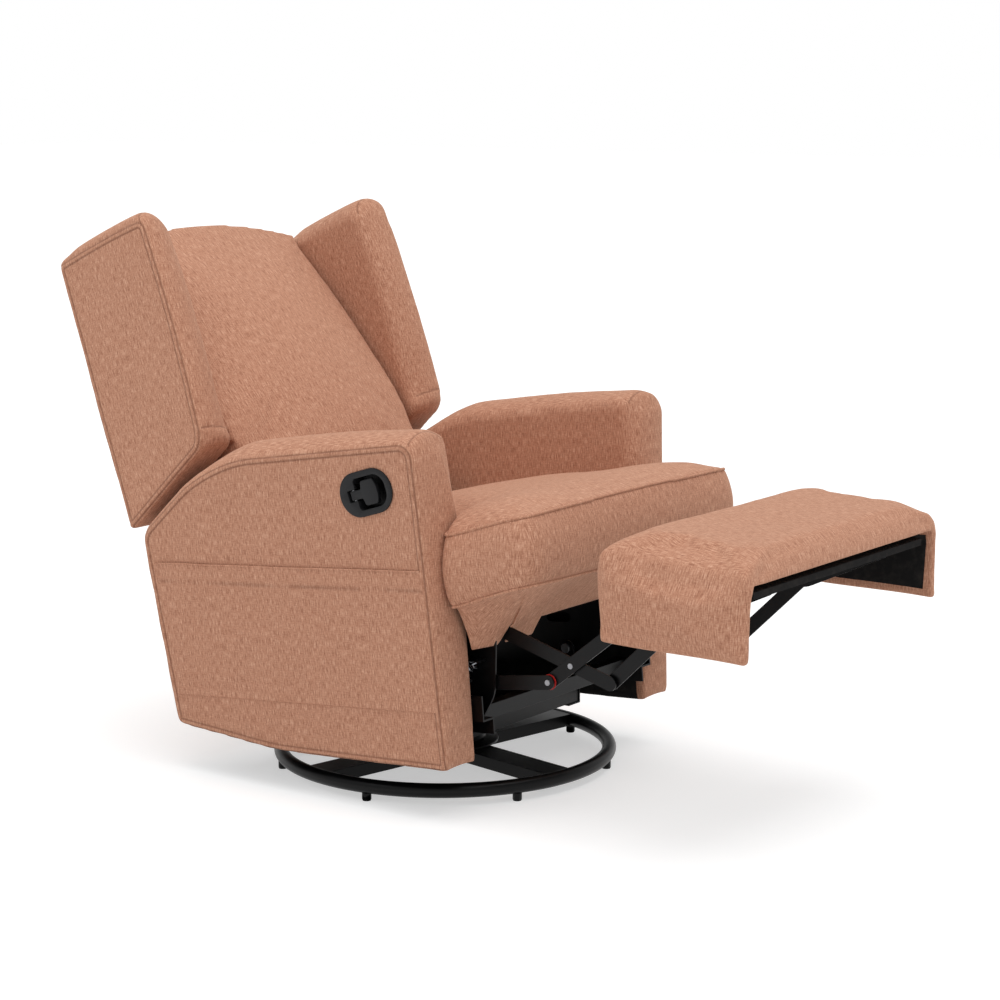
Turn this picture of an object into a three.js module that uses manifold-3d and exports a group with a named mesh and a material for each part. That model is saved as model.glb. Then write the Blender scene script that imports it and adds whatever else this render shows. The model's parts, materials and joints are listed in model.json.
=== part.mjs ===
// Swivel glider recliner, shown reclined with its footrest out.
// Millimetres, +Z up. The chair faces -Y, so the sitter's left hand is at +X.
// Side outlines are written as [y, z] corners, with an optional third number
// that says how far from the corner its rounding starts.

import * as THREE from "three";
import { mergeVertices } from "three/addons/utils/BufferGeometryUtils.js";
import Module from "manifold-3d";

const wasm = await Module();
wasm.setup();

// Clearances, and the overrun that cutting tools get past the faces they cut
const seatGap = 0.3;
const pinClearance = 0.6;
const cutOverrun = 6;

// Tightest bend of a padded outline, as a share of its rim's rounding
const softShare = 1.15;

// Finishes
const fabricColour = 0xb97a5e;
const blackSteelColour = 0x17171a;
const greySteelColour = 0x9a9ca0;
const plyColour = 0xc8a97a;
const blackPlasticColour = 0x101012;
const redPlasticColour = 0xb3201c;

function finish(color, roughness, metalness) {
  return () => new THREE.MeshStandardMaterial({ color, roughness, metalness });
}

const fabric = finish(fabricColour, 0.92, 0);
const blackSteel = finish(blackSteelColour, 0.38, 0.7);
const greySteel = finish(greySteelColour, 0.35, 0.9);
const plywood = finish(plyColour, 0.7, 0);
const blackPlastic = finish(blackPlasticColour, 0.3, 0);
const redPlastic = finish(redPlasticColour, 0.4, 0);

// Driving dimensions, group by group

// Half of the clear width between the arms: everything across the chair follows it
const body = { half: 252 };

const ring = {
  radius: 292,
  tubeRadius: 12.5,
  centreHeight: 25,
  aroundCount: 40,
  sectionCount: 8,
};

const glideFoot = { radius: 11, soleRadius: 9, soleRise: 2.5, count: 7, firstAngle: 139, sides: 10 };

const cross = { width: 56, height: 22, wall: 3, angle: -11 };

const hub = {
  flangeRadius: 95,
  flangeThickness: 4,
  neckRadius: 64,
  shoulderRadius: 72,
  headRadius: 90,
  headThickness: 4,
  height: 30,
  sides: 28,
};

const bearing = { innerRadius: 58, collarRadius: 66, outerRadius: 86, flange: 4, collar: 3.7, cap: 3.7 };

const turntable = {
  halfWidth: body.half - 52,
  halfDepth: 110,
  thickness: 4,
  cornerCut: 46,
  boreRadius: 40,
  slotLength: 90,
  slotWidth: 24,
  slotReach: 78,
};

const glideSide = {
  face: body.half - 46,
  sheet: 3,
  flange: 36,
  halfLength: 150,
  height: 30,
  earBase: 30,
  earTop: 14,
};

const glideCross = { width: 40, height: 25, wall: 3, reach: 128 };

// The glider links hang from the turntable's ears and carry the base rails
const glide = {
  pivotReach: 120,
  upperHeight: 180,
  length: 85,
  linkOuter: body.half - 40,
  sheet: 3,
  eyeRadius: 13,
  pinRadius: 5,
  headRadius: 9,
  headThickness: 3,
};

// The chair leans back on the carriage about this line
const lean = { degrees: 5.2, height: 250 };

const rail = {
  outer: body.half - seatGap,
  inner: body.half - 29.7,
  sheet: 3,
  webHeight: 137,
  outerTop: 180,
  innerBottom: 112,
  front: -262,
  rear: 262,
  earRadius: 14,
  postRadius: 20,
  postFront: 150,
  postShoulder: 250,
  windowRadius: 15,
};

const frontChannel = { front: -232, rear: -206, bottom: 128, top: 153, wall: 3, lip: 7 };

const rearTube = { y: 215, z: 156, radius: 12, bore: 9.5, sides: 14 };

// Recliner mechanism: four link layers lie between the side plate and the footrest bracket
const mech = {
  plateOuter: rail.inner - seatGap,
  sheet: 3,
  layerPitch: 7,
  linkHalfWidth: 12,
  rivetRadius: 5,
  bossRadius: 8,
  eyeMargin: 6,
  plateTop: 318,
  plateBottom: 128,
  plateRear: 236,
  plateRearTop: 236,
};

const ottoman = {
  // fixed pivot of link C, and the crossing of C and B with the footrest out
  pivotC: [-262, 286],
  crossing: [-412, 229],
  tailB: 50,
  tailC: 74,
  // distance of link A's fixed pivot from the midpoint of its end's travel
  reachA: 91,
  // footrest: rear top edge out and folded, and its slope out and folded
  edgeOut: [-553, 436],
  edgeIn: [-408, 310],
  slopeOut: 8.2,
  slopeIn: 90,
  // bracket pivots below the footrest's top face
  pivotSetback: 16,
  pivotDrop: 113,
};

const washer = { radius: 13, thickness: 1.4, sides: 16 };

const tensionSpring = {
  x: body.half - 16,
  front: [-252, 236],
  rear: [-140, 176],
  coilRadius: 7.5,
  wireRadius: 1.7,
  turns: 10,
  stepsPerTurn: 8,
  sides: 5,
  hookLength: 12,
  postRadius: 3,
};

const arm = {
  inner: body.half,
  outerBottom: body.half + 80,
  outerTop: body.half + 118,
  front: -249,
  rear: 365,
  bottomFront: 69,
  bottomRear: 114,
  bottomBreak: [121, 79],
  rearFoot: 346,
  rearTop: 453,
  slopeTop: [192, 580],
  frontTop: 611,
  wall: 16,
  round: 13,
  frameSheet: 18,
  frameRail: 62,
};

const pocket = { bottom: 169, top: 401, thickness: 2, frontMargin: 16, rearMargin: 17 };

const bezel = {
  y: -148,
  z: 530,
  turn: 12,
  length: 110,
  height: 74,
  flange: 3.5,
  rim: 6.5,
  depth: 30,
  floor: 3,
  // finger recess and the slot behind it for the lever's stem
  recessRear: -20,
  recessFront: 43,
  recessHalf: 26.5,
  slotRear: -37,
  slotHalf: 9.8,
};

const lever = {
  hinge: 29,
  pinRadius: 3,
  barrelRadius: 6,
  stemHalf: 7.8,
  shoulder: -10,
  headRear: -7,
  headFront: 19,
  nose: 23.5,
  headHalf: 21,
  thickness: 7,
  sink: 1.5,
};

const cable = {
  radius: 2.5,
  sides: 8,
  steps: 22,
  topShare: 0.8,
  wallHole: 12,
  frameHole: 14,
};

const seatFrame = {
  half: mech.plateOuter - mech.sheet - seatGap,
  front: -255,
  rear: 130,
  bottom: 300,
  thickness: 25,
  rail: 40,
};

const seatSprings = {
  count: 4,
  pitch: (seatFrame.half - seatFrame.rail) / 2,
  wireRadius: 1.9,
  wave: 20,
  waves: 4,
  drop: 8,
  tieRadius: 1.6,
  sides: 3,
  stepsPerWave: 4,
};

const seat = {
  half: body.half - 5,
  earHalf: body.half + 67,
  rear: 106,
  earRear: -261,
  earStep: 8,
  front: -412,
  bottomRear: 325.6,
  bottomEar: 343,
  bottomFront: 372,
  topRear: 440,
  topEar: 462,
  topFront: 486,
  crown: 29,
  boxBulge: 11,
};

const apron = {
  half: body.half - 7,
  sheet: 4,
  topY: -396,
  rearY: -266,
  rearZ: 300,
  sideWidth: 20,
  sideDrop: 40,
  sideDepth: 40,
  edgeEase: 10,
  // lower tabs between the linkage and the middle
  tabInner: body.half - 147,
  tabOuter: body.half - 57,
  tabDrop: 38,
  middleDrop: 17,
};

const rearPanel = { front: 318, rear: 342, bottom: 112, top: 252, round: 8 };

// The back leans on its own frame: u runs forward from its rear face and v runs up it
const back = {
  originY: 416.4,
  originZ: 452.6,
  lean: 14.6,
  hingeY: 211,
  hingeZ: 410,
  swing: 17,
};

const wing = {
  inner: body.half + 2,
  outerBottom: body.half + 89,
  outerTop: body.half + 78,
  rear: 1,
  front: 206,
  lowFront: 100,
  lowFrontReach: 212,
  middle: 304,
  middleReach: 226,
  top: 518,
  topRear: 492,
  round: 16,
};

const backFrame = {
  rear: 9,
  thickness: 25,
  half: wing.inner - seatGap,
  lowHalf: body.half - 9,
  shoulder: 118,
  bottom: -150,
  top: 440,
  post: 34,
  rail: 40,
  middle: 150,
};

const backSprings = { count: 3, pitchShare: 0.525, wireRadius: 1.7, wave: 18, waves: 4, tieRadius: 1.5 };

const outsideBack = {
  rear: 2,
  thickness: 6.4,
  half: wing.inner - 2,
  lowHalf: body.half - 7,
  top: 470,
  arch: 28,
  bottom: -190,
};

const backCushion = {
  rear: 36,
  lowHalf: body.half - 12,
  shoulder: 112,
  bottom: -140,
  top: 494,
  topCrown: 27,
  edgeRear: 44,
  edgeRatio: 0.402,
  crown: 42,
  minThickness: 12,
  rollHeight: 100,
};

const backBracket = { outer: body.half - 5.2, sheet: 3, pinRadius: 7, eyeRadius: 18, foot: 12, footTop: 96 };

const footrest = {
  half: body.half + 58,
  depth: 271,
  drop: 142,
  side: 34,
  thickness: 27,
  crown: 27,
  round: 9,
  // the side panels lean forwards, and their lower edge rises to the front
  sideLean: 15,
  frontRise: 10,
  topCount: 8,
  rowCount: 8,
};

const footBoard = { thickness: 12, half: footrest.half - footrest.side - 2, rear: 14, front: 256 };

const footBracket = { flange: 28, front: 236, rear: -6, holeRadius: 5, tipDrop: 10 };

// Solids

/** Closed solid of a three.js geometry, with its shared vertices merged. */
function toSolid(geometry) {
  const bare = geometry.clone();
  bare.deleteAttribute("normal");
  bare.deleteAttribute("uv");
  const merged = mergeVertices(bare);
  const index = merged.index.array;
  const kept = [];
  for (let i = 0; i < index.length; i += 3) {
    const [a, b, c] = [index[i], index[i + 1], index[i + 2]];
    if (a !== b && b !== c && c !== a) {
      kept.push(a, b, c);
    }
  }
  const vertProperties = Float32Array.from(merged.attributes.position.array);
  const triVerts = Uint32Array.from(kept);
  return new wasm.Manifold(new wasm.Mesh({ numProp: 3, vertProperties, triVerts }));
}

/** Geometry of a solid. */
function fromSolid(solid) {
  const data = solid.getMesh();
  const geometry = new THREE.BufferGeometry();
  geometry.setAttribute("position", new THREE.BufferAttribute(data.vertProperties, 3));
  geometry.setIndex(new THREE.BufferAttribute(data.triVerts, 1));
  geometry.computeVertexNormals();
  return geometry;
}

/** First geometry with all the others joined to it. */
function join(first, ...others) {
  return fromSolid(others.reduce((sum, each) => sum.add(toSolid(each)), toSolid(first)));
}

/** First geometry with all the others cut out of it. */
function cut(first, ...others) {
  return fromSolid(others.reduce((rest, each) => rest.subtract(toSolid(each)), toSolid(first)));
}

/** Moves each vertex of a geometry by a function of its place. */
function reshape(geometry, place) {
  const position = geometry.attributes.position;
  const point = new THREE.Vector3();
  for (let i = 0; i < position.count; i += 1) {
    point.fromBufferAttribute(position, i);
    place(point);
    position.setXYZ(i, point.x, point.y, point.z);
  }
  geometry.computeVertexNormals();
  return geometry;
}

/** Mirror image across the chair's middle plane, still facing outwards. */
function mirrorAcross(geometry) {
  const copy = geometry.index ? geometry.toNonIndexed() : geometry.clone();
  const position = copy.attributes.position;
  const triangle = [new THREE.Vector3(), new THREE.Vector3(), new THREE.Vector3()];
  for (let i = 0; i < position.count; i += 3) {
    triangle.forEach((corner, k) => corner.fromBufferAttribute(position, i + k));
    [0, 2, 1].forEach((from, k) => {
      position.setXYZ(i + k, -triangle[from].x, triangle[from].y, triangle[from].z);
    });
  }
  copy.computeVertexNormals();
  return copy;
}

// Shapes

/** Closed shape through [p, q, ease] corners, rounded where ease is given. */
function outline(corners) {
  const shape = new THREE.Shape();
  const count = corners.length;
  corners.forEach(([p, q, ease = 0], i) => {
    const here = new THREE.Vector2(p, q);
    const [bp, bq] = corners[(i + count - 1) % count];
    const [ap, aq] = corners[(i + 1) % count];
    const before = new THREE.Vector2(bp, bq).sub(here).setLength(ease).add(here);
    const after = new THREE.Vector2(ap, aq).sub(here).setLength(ease).add(here);
    if (i === 0) {
      shape.moveTo(before.x, before.y);
    } else {
      shape.lineTo(before.x, before.y);
    }
    if (ease > 0) {
      shape.quadraticCurveTo(here.x, here.y, after.x, after.y);
    }
  });
  shape.closePath();
  return shape;
}

/** The same corners, each edge moved inwards by a distance. Corners run anticlockwise. */
function inset(corners, distance) {
  const count = corners.length;
  const edges = corners.map(([p, q], i) => {
    const [np, nq] = corners[(i + 1) % count];
    const along = new THREE.Vector2(np - p, nq - q).normalize();
    const inward = new THREE.Vector2(-along.y, along.x).multiplyScalar(distance);
    return { from: new THREE.Vector2(p, q).add(inward), along };
  });
  return corners.map(([, , ease = 0], i) => {
    const one = edges[(i + count - 1) % count];
    const two = edges[i];
    const spread = one.along.cross(two.along);
    const travel = two.from.clone().sub(one.from).cross(two.along) / spread;
    const meet = one.from.clone().addScaledVector(one.along, travel);
    return [meet.x, meet.y, Math.max(0, ease - distance)];
  });
}

/** The same corners, each rounded enough for a padded rim to follow it. */
function soften(corners, round) {
  const count = corners.length;
  return corners.map(([p, q, ease = 0], i) => {
    const [bp, bq] = corners[(i + count - 1) % count];
    const [ap, aq] = corners[(i + 1) % count];
    const before = new THREE.Vector2(bp - p, bq - q);
    const after = new THREE.Vector2(ap - p, aq - q);
    const half = before.angleTo(after) / 2;
    const least = (softShare * round * Math.cos(half)) / Math.sin(half) ** 2;
    return [p, q, Math.max(ease, least)];
  });
}

/** Straight bar outline with round ends between two points. */
function barOutline([p0, q0], [p1, q1], radius) {
  const angle = Math.atan2(q1 - q0, p1 - p0);
  const shape = new THREE.Shape();
  shape.absarc(p1, q1, radius, angle - Math.PI / 2, angle + Math.PI / 2, false);
  shape.absarc(p0, q0, radius, angle + Math.PI / 2, angle + (3 * Math.PI) / 2, false);
  shape.closePath();
  return shape;
}

function circlePath([p, q], radius) {
  const path = new THREE.Path();
  path.absarc(p, q, radius, 0, 2 * Math.PI, true);
  return path;
}

/** Extrusion of a [y, z] shape across the chair, from x0 over a width. */
function across(shape, x0, width, curveSegments = 4) {
  const geometry = new THREE.ExtrudeGeometry(shape, { depth: width, bevelEnabled: false, curveSegments });
  return turnAcross(geometry).translate(x0, 0, 0);
}

/** As across, with rounded rims of a given size. */
function paddedAcross(shape, x0, width, round, curveSegments = 4) {
  const geometry = new THREE.ExtrudeGeometry(shape, {
    depth: width - 2 * round,
    bevelEnabled: true,
    bevelThickness: round,
    bevelSize: round,
    bevelOffset: -round,
    bevelSegments: 2,
    curveSegments,
  });
  return turnAcross(geometry).translate(x0 + round, 0, 0);
}

/** Turns an extrusion's (x, y, z) into the chair's (z, x, y). */
function turnAcross(geometry) {
  const turn = new THREE.Matrix4().set(0, 0, 1, 0, 1, 0, 0, 0, 0, 1, 0, 0, 0, 0, 0, 1);
  return geometry.applyMatrix4(turn);
}

/** Round rod along X. */
function rodAcross(x0, x1, [y, z], radius, sides = 10) {
  const rod = new THREE.CylinderGeometry(radius, radius, Math.abs(x1 - x0), sides);
  return rod.rotateZ(Math.PI / 2).translate((x0 + x1) / 2, y, z);
}

/** Block between two corners. */
function block([x0, y0, z0], [x1, y1, z1]) {
  const box = new THREE.BoxGeometry(x1 - x0, y1 - y0, z1 - z0);
  return box.translate((x0 + x1) / 2, (y0 + y1) / 2, (z0 + z1) / 2);
}

/** Solid of revolution about Z from [radius, height] points. */
function revolve(points, sides) {
  const profile = points.map(([r, z]) => new THREE.Vector2(r, z));
  return new THREE.LatheGeometry(profile, sides).rotateX(Math.PI / 2);
}

/** Tube of a radius along a curve. */
function tube(curve, radius, steps, sides) {
  const section = new THREE.Shape();
  section.absarc(0, 0, radius, 0, 2 * Math.PI, false);
  const points = section.getSpacedPoints(sides);
  points.pop();
  const shape = new THREE.Shape(points);
  return new THREE.ExtrudeGeometry(shape, { steps, extrudePath: curve, bevelEnabled: false });
}

/** Smooth rise from 0 to 1 while a value goes from one end to the other. */
function rise(value, from, to) {
  const t = Math.min(1, Math.max(0, (value - from) / (to - from)));
  return t * t * (3 - 2 * t);
}

/** Straight-line value at a place between rows of [place, value]. */
function between(rows, place) {
  const last = rows.length - 1;
  for (let i = 0; i < last; i += 1) {
    const [p0, v0] = rows[i];
    const [p1, v1] = rows[i + 1];
    if (place <= p1 || i === last - 1) {
      const t = Math.min(1, Math.max(0, (place - p0) / (p1 - p0)));
      return v0 + (v1 - v0) * t;
    }
  }
  return rows[last][1];
}

// Groups: the part, the chair that leans on its carriage, its back and its footrest

const recliner = new THREE.Group();
const chair = new THREE.Group();
chair.position.set(0, 0, lean.height);
chair.rotation.x = -THREE.MathUtils.degToRad(lean.degrees);
recliner.add(chair);

const chairBody = new THREE.Group();
chairBody.position.set(0, 0, -lean.height);
chair.add(chairBody);

const backRest = new THREE.Group();
backRest.position.set(0, back.originY, back.originZ);
backRest.rotation.x = -THREE.MathUtils.degToRad(back.lean);
chairBody.add(backRest);

const footRest = new THREE.Group();
footRest.position.set(0, ...ottoman.edgeOut);
footRest.rotation.x = THREE.MathUtils.degToRad(ottoman.slopeOut);
chairBody.add(footRest);

function place(name, geometry, material, parent) {
  const mesh = new THREE.Mesh(geometry, material());
  mesh.name = name;
  parent.add(mesh);
  return mesh;
}

/** Left piece as built, and its mirror image on the right. */
function placePair(name, geometry, material, parent) {
  place(`${name}_left`, geometry, material, parent);
  place(`${name}_right`, mirrorAcross(geometry), material, parent);
}

/** [y, z] of the part's frame, seen in the leaning chair's frame. */
function inChair([y, z]) {
  recliner.updateMatrixWorld(true);
  const point = chairBody.worldToLocal(new THREE.Vector3(0, y, z));
  return [point.y, point.z];
}

/** Point turned about +X through an angle in radians. */
function turned([y, z], angle) {
  const [c, s] = [Math.cos(angle), Math.sin(angle)];
  return [y * c - z * s, y * s + z * c];
}

function plus([y0, z0], [y1, z1], scale = 1) {
  return [y0 + y1 * scale, z0 + z1 * scale];
}

function apart([y0, z0], [y1, z1]) {
  return Math.hypot(y1 - y0, z1 - z0);
}

/** Unit direction from one point to another. */
function towards(from, to) {
  const length = apart(from, to);
  return [(to[0] - from[0]) / length, (to[1] - from[1]) / length];
}

/** Angle about +X that turns one direction into another. */
function turnFrom(one, two) {
  return Math.atan2(one[0] * two[1] - one[1] * two[0], one[0] * two[0] + one[1] * two[1]);
}

// Ring base

const crossTop = ring.centreHeight + cross.height / 2;
const crossBottom = crossTop - cross.height;

function ringProfile(tubeRadius) {
  const points = [];
  for (let i = 0; i <= ring.sectionCount; i += 1) {
    const angle = ((i % ring.sectionCount) * 2 * Math.PI) / ring.sectionCount;
    const reach = ring.radius + tubeRadius * Math.cos(angle);
    points.push([reach, ring.centreHeight + tubeRadius * Math.sin(angle)]);
  }
  return points;
}

function footProfile() {
  return [
    [0, 0],
    [glideFoot.soleRadius, 0],
    [glideFoot.radius, glideFoot.soleRise],
    [glideFoot.radius, crossBottom - seatGap],
    [0, crossBottom - seatGap],
  ];
}

function footPlace(i) {
  const angle = THREE.MathUtils.degToRad(glideFoot.firstAngle + (i * 360) / glideFoot.count);
  return new THREE.Vector3(ring.radius * Math.cos(angle), ring.radius * Math.sin(angle), 0);
}

function ringBase() {
  const feet = [];
  for (let i = 0; i < glideFoot.count; i += 1) {
    feet.push(revolve(footProfile(), glideFoot.sides).translate(...footPlace(i).toArray()));
  }
  return join(revolve(ringProfile(ring.tubeRadius), ring.aroundCount), ...feet);
}

/** Inverted channel along X. */
function channelBar(halfLength, width, height, wall) {
  const section = outline([
    [-width / 2, 0],
    [-width / 2 + wall, 0],
    [-width / 2 + wall, height - wall],
    [width / 2 - wall, height - wall],
    [width / 2 - wall, 0],
    [width / 2, 0],
    [width / 2, height],
    [-width / 2, height],
  ]);
  return across(section, -halfLength, 2 * halfLength);
}

function crossBars() {
  const bars = [0, 90].map((quarter) => {
    const bar = channelBar(ring.radius, cross.width, cross.height, cross.wall);
    return bar.rotateZ(THREE.MathUtils.degToRad(cross.angle + quarter)).translate(0, 0, crossBottom);
  });
  const seatOnRing = revolve(ringProfile(ring.tubeRadius + seatGap), ring.aroundCount);
  return cut(join(...bars), seatOnRing);
}

const hubBottom = crossTop + seatGap;
const hubTop = hubBottom + hub.height;

function hubPedestal() {
  return revolve(
    [
      [0, hubBottom],
      [hub.flangeRadius, hubBottom],
      [hub.flangeRadius, hubBottom + hub.flangeThickness],
      [hub.shoulderRadius, hubBottom + 2 * hub.flangeThickness],
      [hub.neckRadius, hubTop - 2 * hub.headThickness],
      [hub.headRadius, hubTop - hub.headThickness],
      [hub.headRadius, hubTop],
      [0, hubTop],
    ],
    hub.sides,
  );
}

const raceBottom = hubTop + seatGap;
const raceFlangeTop = raceBottom + bearing.flange;
const raceCollarTop = raceFlangeTop + bearing.collar;
const raceTop = raceCollarTop + seatGap + bearing.cap;

function lowerRace() {
  return revolve(
    [
      [bearing.innerRadius, raceBottom],
      [bearing.outerRadius, raceBottom],
      [bearing.outerRadius, raceFlangeTop],
      [bearing.collarRadius, raceFlangeTop],
      [bearing.collarRadius, raceCollarTop],
      [bearing.innerRadius, raceCollarTop],
      [bearing.innerRadius, raceBottom],
    ],
    hub.sides,
  );
}

function upperRace() {
  const bore = bearing.collarRadius + pinClearance;
  return revolve(
    [
      [bore, raceFlangeTop + seatGap],
      [bearing.outerRadius, raceFlangeTop + seatGap],
      [bearing.outerRadius, raceTop],
      [bearing.innerRadius, raceTop],
      [bearing.innerRadius, raceCollarTop + seatGap],
      [bore, raceCollarTop + seatGap],
      [bore, raceFlangeTop + seatGap],
    ],
    hub.sides,
  );
}

place("base_ring", ringBase(), blackSteel, recliner);
place("base_cross", crossBars(), blackSteel, recliner);
place("swivel_hub", hubPedestal(), blackSteel, recliner);
place("swivel_race_lower", lowerRace(), greySteel, recliner);
place("swivel_race_upper", upperRace(), greySteel, recliner);

// Turntable with the ears that the glider links hang from

const plateBottom = raceTop + seatGap;
const plateTop = plateBottom + turntable.thickness;
const sideBottom = plateTop + seatGap;

function turntablePlate() {
  const { halfWidth: w, halfDepth: d, cornerCut: c } = turntable;
  const shape = outline([
    [-w, -d + c],
    [-w + c, -d],
    [w - c, -d],
    [w, -d + c],
    [w, d - c],
    [w - c, d],
    [-w + c, d],
    [-w, d - c],
  ]);
  shape.holes.push(circlePath([0, 0], turntable.boreRadius));
  for (const side of [-1, 1]) {
    const x = side * (turntable.boreRadius + turntable.slotReach);
    const half = (turntable.slotLength - turntable.slotWidth) / 2;
    shape.holes.push(barOutline([x, -half], [x, half], turntable.slotWidth / 2));
  }
  const plate = new THREE.ExtrudeGeometry(shape, {
    depth: turntable.thickness,
    bevelEnabled: false,
    curveSegments: 6,
  });
  return plate.translate(0, 0, plateBottom);
}

function glideSidePlate() {
  const { halfLength: l, height: h, earBase: b, earTop: t } = glideSide;
  const reach = glide.pivotReach;
  const top = glide.upperHeight + t;
  const ear = (y) => [
    [y + b, sideBottom + h],
    [y + t, top, t],
    [y - t, top, t],
    [y - b, sideBottom + h],
  ];
  const shape = outline([
    [-l, sideBottom],
    [l, sideBottom],
    [l, sideBottom + h],
    ...ear(reach),
    ...ear(-reach),
    [-l, sideBottom + h],
  ]);
  const hole = glide.pinRadius + pinClearance;
  for (const y of [-reach, reach]) {
    shape.holes.push(circlePath([y, glide.upperHeight], hole));
  }
  const web = across(shape, glideSide.face - glideSide.sheet, glideSide.sheet);
  const x0 = glideSide.face - glideSide.flange;
  const flange = block([x0, -l, sideBottom], [glideSide.face, l, sideBottom + glideSide.sheet]);
  return join(web, flange);
}

function glideCrossChannel(y) {
  const half = glideSide.face - glideSide.sheet - seatGap;
  const { width, height, wall } = glideCross;
  const lift = sideBottom + glideSide.sheet + seatGap;
  return channelBar(half, width, height, wall).translate(0, y, lift);
}

place("turntable_plate", turntablePlate(), blackSteel, recliner);
placePair("glider_side", glideSidePlate(), blackSteel, recliner);
place("glider_cross_front", glideCrossChannel(-glideCross.reach), blackSteel, recliner);
place("glider_cross_rear", glideCrossChannel(glideCross.reach), blackSteel, recliner);

// Glider links: stamped bars with their rivets

function glideLink(y) {
  const upper = [y, glide.upperHeight];
  const lower = [y, glide.upperHeight - glide.length];
  const x0 = glide.linkOuter - glide.sheet;
  const bar = across(barOutline(upper, lower, glide.eyeRadius), x0, glide.sheet);
  const innerFace = glideSide.face - glideSide.sheet - seatGap;
  const outerFace = rail.inner + rail.sheet + seatGap;
  const inner = innerFace - glide.headThickness;
  const outer = outerFace + glide.headThickness;
  return join(
    bar,
    rodAcross(inner, glide.linkOuter, upper, glide.pinRadius),
    rodAcross(inner, innerFace, upper, glide.headRadius),
    rodAcross(x0, outer, lower, glide.pinRadius),
    rodAcross(outerFace, outer, lower, glide.headRadius),
  );
}

placePair("glide_link_front", glideLink(-glide.pivotReach), greySteel, recliner);
placePair("glide_link_rear", glideLink(glide.pivotReach), greySteel, recliner);

// Base rails: outer flange against the arm, web, inner flange with ears, and the back's post

const carriagePivots = [-glide.pivotReach, glide.pivotReach].map((y) =>
  inChair([y, glide.upperHeight - glide.length]),
);
const backPivot = [back.hingeY, back.hingeZ];

function baseRail() {
  const webTop = rail.webHeight + rail.sheet;
  const innerStrip = outline([
    [rail.front, rail.innerBottom],
    [rail.rear, rail.innerBottom],
    [rail.rear, webTop],
    [rail.front, webTop],
  ]);
  const ears = carriagePivots.map(([y, z]) =>
    across(barOutline([y, z], [y, rail.webHeight - rail.earRadius], rail.earRadius), rail.inner, rail.sheet),
  );
  const outerStrip = outline([
    [rail.front, rail.webHeight],
    [rail.rear, rail.webHeight],
    [rail.rear, rail.outerTop],
    [rail.front, rail.outerTop],
  ]);
  const r = rail.postRadius;
  const post = outline([
    [rail.postFront, rail.webHeight],
    [rail.postShoulder, rail.webHeight],
    [backPivot[0] + r, backPivot[1]],
    [backPivot[0] + r, backPivot[1] + r, r],
    [backPivot[0] - r, backPivot[1] + r, r],
    [backPivot[0] - r, backPivot[1]],
  ]);
  const outerFace = rail.outer - rail.sheet;
  const windows = [1, 2].map((step) => {
    const z = rail.outerTop + step * 3 * rail.windowRadius;
    return rodAcross(outerFace - cutOverrun, rail.outer + cutOverrun, [backPivot[0], z], rail.windowRadius);
  });
  const bores = carriagePivots.map((pivot) =>
    rodAcross(rail.inner - cutOverrun, rail.inner + rail.sheet + 1, pivot, glide.pinRadius + pinClearance),
  );
  const backBore = rodAcross(
    outerFace - cutOverrun,
    rail.outer + cutOverrun,
    backPivot,
    backBracket.pinRadius + pinClearance,
  );
  const solid = join(
    across(innerStrip, rail.inner, rail.sheet),
    ...ears,
    block([rail.inner, rail.front, rail.webHeight], [rail.outer, rail.rear, webTop]),
    across(outerStrip, outerFace, rail.sheet),
    across(post, outerFace, rail.sheet),
  );
  return cut(solid, ...bores, ...windows, backBore);
}

function frontCrossChannel() {
  const c = frontChannel;
  const half = mech.plateOuter - mech.sheet - seatGap;
  const section = outline([
    [c.front, c.bottom],
    [c.front + c.lip, c.bottom],
    [c.front + c.lip, c.bottom + c.wall],
    [c.front + c.wall, c.bottom + c.wall],
    [c.front + c.wall, c.top - c.wall],
    [c.rear - c.wall, c.top - c.wall],
    [c.rear - c.wall, c.bottom + c.wall],
    [c.rear - c.lip, c.bottom + c.wall],
    [c.rear - c.lip, c.bottom],
    [c.rear, c.bottom],
    [c.rear, c.top],
    [c.front, c.top],
  ]);
  return across(section, -half, 2 * half);
}

function rearCrossTube() {
  const half = mech.plateOuter - mech.sheet - seatGap;
  const at = [rearTube.y, rearTube.z];
  const bore = rodAcross(-half - cutOverrun, half + cutOverrun, at, rearTube.bore, rearTube.sides);
  return cut(rodAcross(-half, half, at, rearTube.radius, rearTube.sides), bore);
}

placePair("base_rail", baseRail(), blackSteel, chairBody);
place("front_cross_channel", frontCrossChannel(), blackSteel, chairBody);
place("rear_cross_tube", rearCrossTube(), blackSteel, chairBody);

// Ottoman linkage: where each pivot lies with the footrest out and folded

/** Point of the footrest, setback along its top face and drop below it. */
function onFootrest(edge, slope, setback, drop) {
  const angle = THREE.MathUtils.degToRad(slope);
  return plus(edge, turned([-setback, -drop], angle));
}

/** Lower meeting point of two circles. */
function lowerMeeting(one, radiusOne, two, radiusTwo) {
  const gap = apart(one, two);
  const along = (radiusOne ** 2 - radiusTwo ** 2 + gap ** 2) / (2 * gap);
  const off = Math.sqrt(radiusOne ** 2 - along ** 2);
  const e = towards(one, two);
  const mid = plus(one, e, along);
  const options = [plus(mid, [-e[1], e[0]], off), plus(mid, [e[1], -e[0]], off)];
  return options[0][1] < options[1][1] ? options[0] : options[1];
}

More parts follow.
